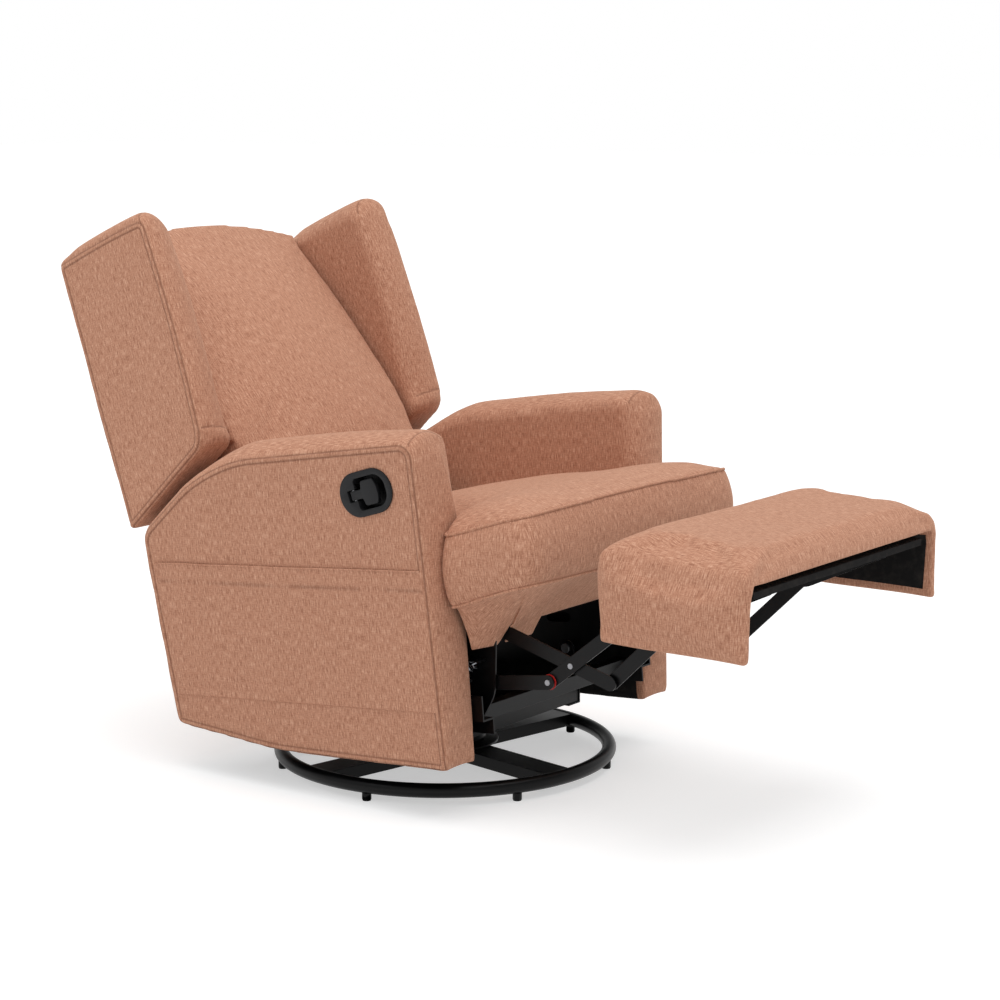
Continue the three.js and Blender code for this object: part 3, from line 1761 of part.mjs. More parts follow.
/** Crowned inside back: thick at the lumbar, thin at the top, rolled under at the seat. */
function insideBackCushion() {
  const c = backCushion;
  const box = new THREE.BoxGeometry(2, 1, 1, 10, 3, 16);
  return reshape(box, (p) => {
    const share = p.z + 0.5;
    const forward = 0.5 - p.y;
    const side = Math.abs(p.x);
    const inner = 1 - side ** 4;
    const top = c.top + c.topCrown * (1 - p.x * p.x);
    const v = c.bottom + share * (top - c.bottom);
    const high = wing.inner - seatGap;
    const low = Math.min(1, Math.max(0, (c.shoulder - v) / (high - c.lowHalf)));
    const half = high + (c.lowHalf - high) * low;
    const edge = c.edgeRear + Math.max(0, c.top - Math.max(v, c.rollHeight - c.shoulder)) * c.edgeRatio;
    const fade = rise(v, c.bottom + c.rollHeight / 2, c.bottom + 2 * c.rollHeight);
    const crown = c.crown * inner * (1 / 4 + (3 / 4) * fade) * (1 - (share * share) ** 6);
    const roll = c.rollHeight * (1 - Math.min(1, (v - c.bottom) / c.rollHeight)) ** 2;
    const front = Math.max(c.rear + c.minThickness, edge + crown - roll / 2);
    const drawn = (c.minThickness / 2) * (4 * (forward - 0.5) ** 2);
    p.x *= half - drawn;
    p.y = -(c.rear + forward * (front - c.rear));
    p.z = v;
  });
}

function backSideBracket() {
  const b = backBracket;
  const [pu, pv] = backPivotLocal;
  const r = b.eyeRadius;
  const f = backFrame;
  const shape = backOutline([
    [f.rear + b.foot / 4, pv + r],
    [pu - r / 2, pv - r, r / 4],
    [pu + r, pv - r, r / 2],
    [pu + r, pv + r / 2, r / 2],
    [f.rear + 3 * b.foot, b.footTop, b.foot],
    [f.rear + b.foot / 4, b.footTop, b.foot / 2],
  ]);
  const x0 = b.outer - b.sheet;
  const at = [-pu, pv];
  const window = rodAcross(x0 - cutOverrun, b.outer + cutOverrun, [-pu / 2, pv / 4], b.eyeRadius);
  return join(
    cut(across(shape, x0, b.sheet), window),
    rodAcross(x0, rail.outer - seatGap / 2, at, b.pinRadius),
  );
}

placePair("wing", wingPad(), fabric, backRest);
place("back_frame", backTimber(), plywood, backRest);
place("back_springs", backSpringSet(), greySteel, backRest);
place("outside_back", outsideBackPanel(), fabric, backRest);
place("back_cushion", insideBackCushion(), fabric, backRest);
placePair("back_bracket", backSideBracket(), blackSteel, backRest);

// Footrest, drawn in its own group: y = -setback and z = -drop from its rear top edge

/** Padded cover that wraps over both sides, with a crowned top. */
function footrestCover() {
  const f = footrest;
  const corners = [];
  const inner = f.half - f.side;
  const soft = softShare * Math.SQRT2 * f.round;
  corners.push([-f.half, -f.drop, soft], [-inner, -f.drop, soft]);
  corners.push([-inner, -f.thickness, f.round / 3], [inner, -f.thickness, f.round / 3]);
  corners.push([inner, -f.drop, soft], [f.half, -f.drop, soft]);
  corners.push([f.half, 0, 2 * f.round]);
  for (let i = 1; i < f.topCount; i += 1) {
    corners.push([f.half * (1 - (2 * i) / f.topCount), 0]);
  }
  corners.push([-f.half, 0, 2 * f.round]);
  const cover = new THREE.ExtrudeGeometry(outline(corners), {
    depth: f.depth - 2 * f.round,
    steps: f.rowCount,
    bevelEnabled: true,
    bevelThickness: f.round,
    bevelSize: f.round,
    bevelOffset: -f.round,
    bevelSegments: 2,
    curveSegments: 3,
  });
  cover.rotateX(Math.PI / 2).translate(0, -f.round, 0);
  return reshape(cover, (p) => {
    const u = p.x / f.half;
    const w = (-2 * p.y) / f.depth - 1;
    const high = rise(p.z, -f.thickness, 0);
    const low = rise(-p.z, f.thickness, f.drop);
    const forward = rise(-p.y, 0, f.depth);
    p.y -= f.sideLean * low * (1 - forward / 2);
    p.z += f.frontRise * low * forward;
    p.z += f.crown * high * (1 - u ** 4) * (1 - w ** 4);
  });
}

function footrestBoard() {
  const b = footBoard;
  const top = -footrest.thickness - seatGap;
  return block([-b.half, -b.front, top - b.thickness], [b.half, -b.rear, top]);
}

function footrestBracket() {
  const b = footBracket;
  const face = layerFace(layers.bracket);
  const top = -footrest.thickness - footBoard.thickness - 2 * seatGap;
  const r = mech.linkHalfWidth;
  const low = -ottoman.pivotDrop - r;
  const reach = linkage.setbackD + r;
  const shape = outline([
    [-b.front, top],
    [-b.front, top - b.tipDrop],
    [-reach, low, r],
    [-ottoman.pivotSetback + r, low, r],
    [-b.rear, top],
  ]);
  const bores = [ottoman.pivotSetback, linkage.setbackD].map((setback) =>
    circlePath([-setback, -ottoman.pivotDrop], mech.rivetRadius + pinClearance),
  );
  const spare = [1, 2].map((step) =>
    circlePath([-linkage.setbackD - step * 2 * r, top - b.tipDrop - r], b.holeRadius),
  );
  shape.holes.push(bores[0], ...spare);
  const web = across(shape, face - mech.sheet, mech.sheet);
  const flange = block([face - b.flange, -b.front, top - mech.sheet], [face, -b.rear, top]);
  const pin = openPin([-linkage.setbackD, -ottoman.pivotDrop], layers.bracket);
  return join(web, flange, rodAcross(pin.from, pin.to, pin.at, mech.rivetRadius));
}

place("footrest_cover", footrestCover(), fabric, footRest);
place("footrest_board", footrestBoard(), plywood, footRest);
placePair("footrest_bracket", footrestBracket(), blackSteel, footRest);

// The part's origin is on the floor below the middle of the whole chair

recliner.updateMatrixWorld(true);
const extent = new THREE.Box3().setFromObject(recliner, true);
recliner.position.y = -(extent.min.y + extent.max.y) / 2;
recliner.updateMatrixWorld(true);

/** [y, z] of the chair's frame as a point of the finished part. */
function inPart([y, z]) {
  return chairBody.localToWorld(new THREE.Vector3(0, y, z));
}

recliner.userData.pivots = {
  swivel: new THREE.Vector3(0, recliner.position.y, 0),
  glideFrontUpper: new THREE.Vector3(0, recliner.position.y - glide.pivotReach, glide.upperHeight),
  glideFrontLower: new THREE.Vector3(
    0,
    recliner.position.y - glide.pivotReach,
    glide.upperHeight - glide.length,
  ),
  glideRearUpper: new THREE.Vector3(0, recliner.position.y + glide.pivotReach, glide.upperHeight),
  back: inPart(backPivot),
  linkC: inPart(ottoman.pivotC),
  linkA: inPart(linkage.pivotA),
  linkB: inPart(ottoman.crossing),
  linkD: inPart(linkage.tailCOut),
  footrest: inPart(linkage.footOut),
  lever: chairBody.localToWorld(
    new THREE.Vector3(-lever.hinge, 0, paddleTop - lever.barrelRadius).applyMatrix4(leverFrame()),
  ),
  leverAxis: new THREE.Vector3(0, -1, 0)
    .transformDirection(leverFrame())
    .transformDirection(chairBody.matrixWorld),
  floor: footPlace(0).setZ(0).setY(footPlace(0).y + recliner.position.y),
};
recliner.userData.turns = linkage.turns;

export default recliner;
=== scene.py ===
"""Swivel glider recliner: padded covers, steel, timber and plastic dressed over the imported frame."""

import json
import logging
import math
from collections.abc import Callable, Iterable, Sequence
from dataclasses import dataclass, field
from enum import Enum

import bmesh
import bpy
from mathutils import Matrix, Vector, noise
from mathutils.bvhtree import BVHTree
from mathutils.kdtree import KDTree


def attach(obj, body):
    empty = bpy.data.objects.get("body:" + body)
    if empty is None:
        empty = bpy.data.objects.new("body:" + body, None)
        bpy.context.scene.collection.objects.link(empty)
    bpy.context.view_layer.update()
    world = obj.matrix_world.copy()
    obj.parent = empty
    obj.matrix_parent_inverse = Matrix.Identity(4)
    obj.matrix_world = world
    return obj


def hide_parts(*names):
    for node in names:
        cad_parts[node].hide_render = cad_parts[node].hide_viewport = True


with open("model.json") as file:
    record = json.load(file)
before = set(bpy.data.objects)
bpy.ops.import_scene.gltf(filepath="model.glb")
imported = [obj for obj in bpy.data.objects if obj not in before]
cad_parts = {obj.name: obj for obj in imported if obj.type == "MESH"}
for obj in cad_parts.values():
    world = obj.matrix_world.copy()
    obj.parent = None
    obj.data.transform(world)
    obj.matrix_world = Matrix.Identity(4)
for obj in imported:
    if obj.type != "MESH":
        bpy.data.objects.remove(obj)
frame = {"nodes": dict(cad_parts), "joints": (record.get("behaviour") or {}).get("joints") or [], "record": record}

logging.basicConfig(level=logging.INFO, format="%(levelname)s %(message)s")
log = logging.getLogger("recliner")

MM = 0.001
WEAVE_MAP = "weave"
# Vertex attribute that places painted shade along stitched lines.
SEAM_MARK = "seam"

Pair = tuple[float, float]
Trio = tuple[float, float, float]
Line = Sequence[Pair]
Corner = Pair | Trio
Colour = Trio
Ripple = Trio
Vert = bmesh.types.BMVert
Face = bmesh.types.BMFace
PointMap = Callable[[Vector], Vector]


# Shader maths


def linear(red: int, green: int, blue: int) -> tuple[float, float, float, float]:
    """Turns an 8-bit display colour into a scene-linear one.

    Args:
        red: Red from 0 to 255.
        green: Green from 0 to 255.
        blue: Blue from 0 to 255.

    Returns:
        Linear red, green, blue and an alpha of 1.
    """
    shares = [value / 255 for value in (red, green, blue)]
    bent = [s / 12.92 if s <= 0.04045 else ((s + 0.055) / 1.055) ** 2.4 for s in shares]
    return (bent[0], bent[1], bent[2], 1.0)


class Signal:
    """One output socket of a material, with arithmetic that adds Math nodes."""

    def __init__(self, recipe: "Recipe", socket: bpy.types.NodeSocket) -> None:
        """Keeps the socket and the recipe it belongs to."""
        self.recipe = recipe
        self.socket = socket

    def _math(self, operation: str, *others: "Signal | float", flip: bool = False) -> "Signal":
        """Adds one Math node.

        Args:
            operation: Name of the Math node's operation.
            others: Remaining operands.
            flip: Whether this signal is the second operand.

        Returns:
            The node's value.
        """
        operands = [*others, self] if flip else [self, *others]
        inputs = {index: value for index, value in enumerate(operands)}
        return self.recipe.node("ShaderNodeMath", {"operation": operation}, inputs)

    def __add__(self, other: "Signal | float") -> "Signal":
        """Sum of two values."""
        return self._math("ADD", other)

    def __sub__(self, other: "Signal | float") -> "Signal":
        """Difference of two values."""
        return self._math("SUBTRACT", other)

    def __rsub__(self, other: float) -> "Signal":
        """A number less this value."""
        return self._math("SUBTRACT", other, flip=True)

    def __mul__(self, other: "Signal | float") -> "Signal":
        """Product of two values."""
        return self._math("MULTIPLY", other)

    __radd__ = __add__
    __rmul__ = __mul__

    def larger(self, other: "Signal") -> "Signal":
        """Larger of two values."""
        return self._math("MAXIMUM", other)

    def sine(self) -> "Signal":
        """Sine of the value in radians."""
        return self._math("SINE")

    def above(self, edge: float, width: float) -> "Signal":
        """Soft step from 0 below the edge to 1 above it.

        Args:
            edge: Value at the middle of the step.
            width: Width over which the step rises.

        Returns:
            The step, kept between 0 and 1.
        """
        inputs = {0: self, 1: edge - width / 2, 2: edge + width / 2, 3: 0.0, 4: 1.0}
        return self.recipe.node("ShaderNodeMapRange", {"clamp": True}, inputs)


class Recipe:
    """Node tree of one material or world, built through a single node method."""

    def __init__(self, name: str, world: bool = False) -> None:
        """Starts an empty tree with an output node.

        Args:
            name: Name of the material or world.
            world: Whether it is a world.
        """
        self.owner = bpy.data.worlds.new(name) if world else bpy.data.materials.new(name)
        self.owner.use_nodes = True
        self.tree = self.owner.node_tree
        self.tree.nodes.clear()
        self.output = self.tree.nodes.new("ShaderNodeOutputWorld" if world else "ShaderNodeOutputMaterial")

    def node(
        self,
        kind: str,
        settings: dict[str, object] | None = None,
        inputs: dict[int | str, object] | None = None,
        output: int | str = 0,
    ) -> Signal:
        """Adds a node, sets it up, then fills its sockets.

        Args:
            kind: Type name of the node.
            settings: Properties that are set first, with "stops" for a colour ramp.
            inputs: Socket name or index to a number, a colour or a signal.
            output: Socket that is handed back.

        Returns:
            The chosen output as a signal.
        """
        added = self.tree.nodes.new(kind)
        for key, value in (settings or {}).items():
            if key == "stops":
                self._set_stops(added, value)
            else:
                setattr(added, key, value)
        for key, value in (inputs or {}).items():
            socket = added.inputs[key]
            if isinstance(value, Signal):
                self.tree.links.new(value.socket, socket)
            else:
                socket.default_value = value
        return Signal(self, added.outputs[output])

    @staticmethod
    def _set_stops(ramp: bpy.types.Node, stops: Sequence[tuple[float, Sequence[float]]]) -> None:
        """Sets the stops of a colour ramp in rising order.

        Args:
            ramp: The ramp's node.
            stops: Place and colour of each stop.
        """
        elements = ramp.color_ramp.elements
        while len(elements) < len(stops):
            elements.new(1.0)
        for element, (place, colour) in zip(elements, stops):
            element.position = place
            element.color = colour

    def noise(
        self, scale: float | Sequence[float], detail: float = 2.0, rough: float = 0.5,
        source: Signal | None = None,
    ) -> Signal:
        """Noise value about 0.5.

        Args:
            scale: Factor on the coordinates, one for all axes or one for each.
            detail: Number of finer layers.
            rough: Weight of the finer layers.
            source: Vector that is read in place of Object coordinates.

        Returns:
            The value.
        """
        factors = (scale,) * 3 if isinstance(scale, float) else tuple(scale)
        vector = source or self.node("ShaderNodeTexCoord", output="Object")
        place = self.node("ShaderNodeVectorMath", {"operation": "MULTIPLY"}, {0: vector, 1: factors})
        inputs = {"Vector": place, "Scale": 1.0, "Detail": detail, "Roughness": rough}
        return self.node("ShaderNodeTexNoise", None, inputs)

    def blend(self, share: Signal | float, first: object, second: object) -> Signal:
        """Mixes two colours by a share from 0 to 1."""
        return self.node("ShaderNodeMix", {"data_type": "RGBA"}, {0: share, 6: first, 7: second}, 2)

    def bump(self, height: Signal, distance: float, strength: float) -> Signal:
        """Normal of a surface raised by a height over a distance in millimetres."""
        inputs = {"Height": height, "Distance": distance * MM, "Strength": strength}
        return self.node("ShaderNodeBump", None, inputs)

    def ended(self, shader: Signal) -> bpy.types.Material | bpy.types.World:
        """Joins the last shader to the output and hands back the material or world."""
        self.tree.links.new(shader.socket, self.output.inputs["Surface"])
        return self.owner

    def surface(self, **sockets: object) -> bpy.types.Material:
        """Ends the recipe in a Principled surface.

        Args:
            sockets: Socket names, with underscores for spaces, and their values.

        Returns:
            The finished material.
        """
        inputs = {name.replace("_", " "): value for name, value in sockets.items()}
        return self.ended(self.node("ShaderNodeBsdfPrincipled", None, inputs))


# Finishes


@dataclass(frozen=True)
class WovenFabric:
    """Plain-woven upholstery cloth of slubbed, heathered yarn."""

    name: str = "terracotta_weave"
    dark: Colour = (141, 92, 71)
    middle: Colour = (185, 133, 107)
    light: Colour = (220, 174, 148)
    stops: Trio = (0.12, 0.5, 0.88)
    yarn: float = 1.2
    slub: float = 14.0
    per_yarn: float = 0.75
    per_slub: Pair = (1.0, 1.4)
    heather: Pair = (600.0, 300.0)
    clouds: Pair = (16.0, 7.0)
    shares: tuple[float, float, float, float] = (1.0, 0.4, 0.4, 0.08)
    crossing: float = 0.05
    relief: Trio = (0.3, 0.8, 0.6)
    # Painted shade along the stitched lines: how much of it, and how dark it is against the dark yarn.
    seam_shade: float = 0.6
    seam_dark: float = 0.55

    def material(self) -> bpy.types.Material:
        """Cloth whose yarns follow the piece's own weave map, in metres.

        Returns:
            The material.
        """
        r = Recipe(self.name)
        weave = r.node("ShaderNodeUVMap", {"uv_map": WEAVE_MAP})
        pitch, long = self.yarn * MM, self.slub * MM
        warp = r.noise((self.per_yarn / pitch, self.per_slub[0] / long, 1.0), 1.0, source=weave)
        weft = r.noise((self.per_slub[1] / long, self.per_yarn / pitch, 1.0), 1.0, source=weave)
        heather = r.noise((*self.heather, 1.0), source=weave)
        clouds = r.noise((*self.clouds, 1.0), 3.0, source=weave)
        axes = [
            r.node("ShaderNodeSeparateXYZ", None, {0: weave}, axis) * (math.tau / pitch)
            for axis in range(2)
        ]
        plain = axes[0].sine() * axes[1].sine()
        parts = [(layer - 0.5) * share for layer, share in zip((warp, weft, heather, clouds), self.shares)]
        tone = parts[0] + parts[1] + parts[2] + parts[3] + plain * self.crossing + 0.5
        colours = (self.dark, self.middle, self.light)
        stops = [(place, linear(*colour)) for place, colour in zip(self.stops, colours)]
        yarns = r.node("ShaderNodeValToRGB", {"stops": stops}, {0: tone})
        # Painted shade: where the seam mark lies, the yarn colour is mixed towards a darkened dark yarn, in place
        # of the shade in the seam grooves.
        seam = r.node("ShaderNodeAttribute", {"attribute_name": SEAM_MARK}, None, "Fac")
        shade = tuple(value * self.seam_dark for value in linear(*self.dark)[:3]) + (1.0,)
        raised = [layer * height for layer, height in zip((plain, warp, weft), self.relief)]
        return r.surface(
            Base_Color=r.blend(seam * self.seam_shade, yarns, shade),
            Roughness=0.82 + tone * 0.12,
            Normal=r.bump(raised[0] + raised[1] + raised[2], 0.25, 0.3),
            Sheen_Weight=0.3,
            Sheen_Roughness=0.45,
            Sheen_Tint=linear(236, 208, 184),
            Specular_IOR_Level=0.2,
        )


@dataclass(frozen=True)
class LiningCloth:
    """Black non-woven cloth stapled under and inside the upholstery."""

    name: str = "black_lining"
    colour: Colour = (19, 18, 18)
    lint: Colour = (40, 37, 35)
    spots: float = 900.0
    felt: float = 60.0

    def material(self) -> bpy.types.Material:
        """Matt felt with a spot-bonded face and a little lint.

        Returns:
            The material.
        """
        r = Recipe(self.name)
        spots = r.noise(self.spots, 1.0)
        felt = r.noise(self.felt, 4.0, 0.65)
        return r.surface(
            Base_Color=r.blend(felt.above(0.6, 0.3), linear(*self.colour), linear(*self.lint)),
            Roughness=0.86 + felt * 0.12,
            Normal=r.bump(spots + felt, 0.3, 0.6),
            Specular_IOR_Level=0.2,
        )


@dataclass(frozen=True)
class PaintedSteel:
    """Black powder-coated steel with a faint orange-peel skin."""

    name: str = "black_steel_paint"
    colour: Colour = (6, 6, 7)
    gloss: float = 0.26
    peel: float = 420.0
    dust: float = 22.0
    dust_light: int = 22

    def material(self) -> bpy.types.Material:
        """Satin paint whose gloss varies with a little dust.

        Returns:
            The material.
        """
        r = Recipe(self.name)
        peel = r.noise(self.peel)
        dust = r.noise(self.dust, 4.0, 0.6)
        dusty = linear(*(value + self.dust_light for value in self.colour))
        colour = r.blend(dust.above(0.64, 0.3) * 0.3, linear(*self.colour), dusty)
        return r.surface(
            Base_Color=colour,
            Roughness=self.gloss + dust * 0.16,
            Normal=r.bump(peel, 0.08, 0.35),
            Specular_IOR_Level=0.2,
        )


@dataclass(frozen=True)
class PlatedSteel:
    """Zinc-plated rivets, pins and spring wire."""

    name: str = "zinc_plated_steel"
    colour: Colour = (172, 173, 177)
    marks: Trio = (300.0, 1500.0, 300.0)
    patches: float = 70.0
    dullness: int = 50

    def material(self) -> bpy.types.Material:
        """Bright metal with fine drawing marks and dull patches.

        Returns:
            The material.
        """
        r = Recipe(self.name)
        marks = r.noise(self.marks)
        patches = r.noise(self.patches, 3.0)
        dull = linear(*(value - self.dullness for value in self.colour))
        return r.surface(
            Base_Color=r.blend(patches, linear(*self.colour), dull),
            Metallic=1.0,
            Roughness=0.2 + patches * 0.3,
            Normal=r.bump(marks, 0.05, 0.3),
        )


@dataclass(frozen=True)
class Plywood:
    """Pale hardwood ply of the hidden frames."""

    name: str = "frame_plywood"
    late: Colour = (176, 140, 94)
    early: Colour = (222, 192, 146)
    pore: Colour = (128, 92, 56)
    grain: Trio = (9.0, 160.0, 160.0)
    pores: Trio = (40.0, 900.0, 900.0)

    def material(self) -> bpy.types.Material:
        """Long grain with darker pores.

        Returns:
            The material.
        """
        r = Recipe(self.name)
        grain = r.noise(self.grain, 5.0, 0.6)
        pores = r.noise(self.pores)
        wood = r.blend(grain, linear(*self.late), linear(*self.early))
        return r.surface(
            Base_Color=r.blend(pores.above(0.64, 0.1) * 0.5, wood, linear(*self.pore)),
            Roughness=0.6 + grain * 0.2,
            Normal=r.bump(pores + grain, 0.2, 0.4),
        )


@dataclass(frozen=True)
class MouldedPlastic:
    """Moulded plastic with a fine spark-eroded grain."""

    name: str = "lever_plastic_black"
    colour: Colour = (15, 15, 17)
    gloss: float = 0.38
    depth: float = 0.12
    grain: float = 1300.0
    rub: float = 55.0
    rub_light: int = 12

    def material(self) -> bpy.types.Material:
        """Satin plastic with grain and slight rubbing.

        Returns:
            The material.
        """
        r = Recipe(self.name)
        grain = r.noise(self.grain, 1.0)
        rub = r.noise(self.rub, 3.0)
        lighter = linear(*(min(255, value + self.rub_light) for value in self.colour))
        return r.surface(
            Base_Color=r.blend(rub, linear(*self.colour), lighter),
            Roughness=self.gloss + rub * 0.14,
            Normal=r.bump(grain, self.depth, 0.4),
            Specular_IOR_Level=0.25,
        )


@dataclass(frozen=True)
class StudioFloor:
    """White floor that keeps the chair's shadow and meets the white backdrop."""

    name: str = "studio_floor"
    glow: float = 0.5
    kept: float = 0.62
    plain: Pair = (0.8, 0.82)
    clouds: float = 0.7

    def material(self) -> bpy.types.Material:
        """Plain diffuse for light, part glow where the camera or a reflection sees it.

        Returns:
            The material.
        """
        r = Recipe(self.name)
        path = [
            r.node("ShaderNodeLightPath", None, None, ray)
            for ray in ("Is Camera Ray", "Is Glossy Ray", "Is Transmission Ray")
        ]
        seen = path[0].larger(path[1]).larger(path[2])
        greys = [(grey, grey, grey, 1.0) for grey in self.plain]
        plain = r.blend(r.noise(self.clouds), *greys)
        lit = r.node("ShaderNodeBsdfDiffuse", None, {"Color": plain})
        shade = r.node("ShaderNodeBsdfDiffuse", None, {"Color": (self.kept, self.kept, self.kept, 1.0)})
        glow = r.node("ShaderNodeEmission", None, {"Strength": self.glow})
        shown = r.node("ShaderNodeAddShader", None, {0: shade, 1: glow})
        return r.ended(r.node("ShaderNodeMixShader", None, {0: seen, 1: lit, 2: shown}))


class Finish(Enum):
    """The finishes of the chair."""

    FABRIC = WovenFabric()
    LINING = LiningCloth()
    BLACK_STEEL = PaintedSteel()
    PLATED = PlatedSteel()
    PLYWOOD = Plywood()
    PLASTIC = MouldedPlastic()
    CABLE = MouldedPlastic("cable_sheath_black", (18, 18, 19), 0.45, 0.05)
    WASHER = MouldedPlastic("washer_plastic_red", (176, 26, 22), 0.3, 0.04)


class FinishShelf:
    """Makes each finish's material once."""

    def __init__(self) -> None:
        """Starts with nothing made."""
        self._made: dict[Finish, bpy.types.Material] = {}

    def __getitem__(self, finish: Finish) -> bpy.types.Material:
        """Material of a finish.

        Args:
            finish: The finish.

        Returns:
            Its material.
        """
        if finish not in self._made:
            self._made[finish] = finish.value.material()
        return self._made[finish]


SHELF = FinishShelf()


# Places


class Spot(Enum):
    """Drawing frames in millimetres, each as a matrix into the finished part in metres."""

    FLOOR = "floor"
    CHAIR = "chair"
    BACK = "back"
    FOOTREST = "footrest"
    LEVER = "lever"


@dataclass(frozen=True)
class Stance:
    """How the chair stands: its lean, its back and its footrest."""

    lean: float = 5.2
    lean_height: float = 250.0
    back_origin: Pair = (416.4, 452.6)
    back_lean: float = 14.6
    foot_origin: Pair = (-553.0, 436.0)
    foot_slope: float = 8.2
    lever_place: Pair = (-148.0, 530.0)
    lever_turn: float = 12.0
    arm_foot: Pair = (332.0, 69.0)
    arm_head: Pair = (370.0, 611.0)

    def arm_outer(self, z: float) -> float:
        """Half-width over the arms at a height in the chair's frame."""
        share = (z - self.arm_foot[1]) / (self.arm_head[1] - self.arm_foot[1])
        return self.arm_foot[0] + (self.arm_head[0] - self.arm_foot[0]) * share

    def matrix(self, spot: Spot) -> Matrix:
        """Matrix from a drawing frame in millimetres to the part in metres.

        Args:
            spot: The drawing frame.

        Returns:
            The four-by-four matrix.
        """
        swivel = next(j for j in frame["joints"] if j["name"] == "swivel_turn")
        floor = Matrix.Translation((0, swivel["pos_m"][1], 0)) @ Matrix.Scale(MM, 4)
        if spot is Spot.FLOOR:
            return floor
        pivot = Matrix.Translation((0, 0, self.lean_height))
        chair = floor @ pivot @ Matrix.Rotation(math.radians(-self.lean), 4, "X") @ pivot.inverted()
        if spot is Spot.CHAIR:
            return chair
        if spot is Spot.BACK:
            move = Matrix.Translation((0, *self.back_origin))
            return chair @ move @ Matrix.Rotation(math.radians(-self.back_lean), 4, "X")
        if spot is Spot.FOOTREST:
            move = Matrix.Translation((0, *self.foot_origin))
            return chair @ move @ Matrix.Rotation(math.radians(self.foot_slope), 4, "X")
        y, z = self.lever_place
        slant = math.atan2(self.arm_head[0] - self.arm_foot[0], self.arm_head[1] - self.arm_foot[1])
        basis = Matrix(((0, 0, -1, 0), (-1, 0, 0, 0), (0, 1, 0, 0), (0, 0, 0, 1)))
        move = Matrix.Translation((-self.arm_outer(z), y, z))
        turn = Matrix.Rotation(math.radians(-self.lever_turn), 4, "X")
        return chair @ move @ Matrix.Rotation(-slant, 4, "Y") @ turn @ basis


STANCE = Stance()


# Forms


class Run(Enum):
    """Direction in which an outline is drawn out: its axis and the plane of its corners."""

    ACROSS = (0, (1, 2))
    DEPTH = (1, (0, 2))
    UP = (2, (0, 1))


def clamped(value: float, low: float = 0.0, high: float = 1.0) -> float:
    """Value kept between two bounds."""
    return min(high, max(low, value))


def shares(count: int) -> list[float]:
    """Even steps from 0 to 1."""
    return [step / count for step in range(count + 1)]


def smooth(value: float, low: float, high: float) -> float:
    """Soft rise from 0 at low to 1 at high."""
    share = clamped((value - low) / (high - low))
    return share * share * (3 - 2 * share)


def hump(share: float, power: float = 2.0) -> float:
    """Crown from 0 at both ends of 0 to 1 up to 1 in the middle."""
    return max(0.0, 1 - abs(2 * share - 1) ** power)


def ladder(rows: Line, place: float) -> float:
    """Straight-line value between rows of (place, value) in rising order of place.

    Args:
        rows: The rows.
        place: Where the value is read.

    Returns:
        The value.
    """
    if place <= rows[0][0]:
        return rows[0][1]
    for (x0, y0), (x1, y1) in zip(rows, rows[1:]):
        if place <= x1:
            return y0 + (y1 - y0) * (place - x0) / (x1 - x0)
    return rows[-1][1]


def drifted(point: Vector, size: float, seed: float) -> float:
    """Smooth repeatable unevenness from -1 to 1 with hollows of a size in millimetres."""
    return noise.noise(point / size + Vector((seed, seed * 1.7, -seed)))


def uneven(point: Vector, ripples: Sequence[Ripple]) -> float:
    """Sum of ripples, each with its height, the size of its hollows and its seed."""
    return sum(height * drifted(point, size, seed) for height, size, seed in ripples)


def linked(name: str, data: bpy.types.ID) -> bpy.types.Object:
    """Puts a mesh, curve, lamp or camera into the scene as an object.

    Args:
        name: Name of the object.
        data: What it shows.

    Returns:
        The object.
    """
    thing = bpy.data.objects.new(name, data)
    bpy.context.scene.collection.objects.link(thing)
    return thing


def baked(work: bpy.types.Object) -> bpy.types.Mesh:
    """Mesh of an object with its modifiers applied.

    Args:
        work: The object.

    Returns:
        A new mesh.
    """
    bpy.context.view_layer.update()
    graph = bpy.context.evaluated_depsgraph_get()
    return bpy.data.meshes.new_from_object(work.evaluated_get(graph))


def cleared(work: bpy.types.Object) -> None:
    """Removes a helper object and its mesh.

    Args:
        work: The helper.
    """
    base = work.data
    bpy.data.objects.remove(work)
    bpy.data.meshes.remove(base)


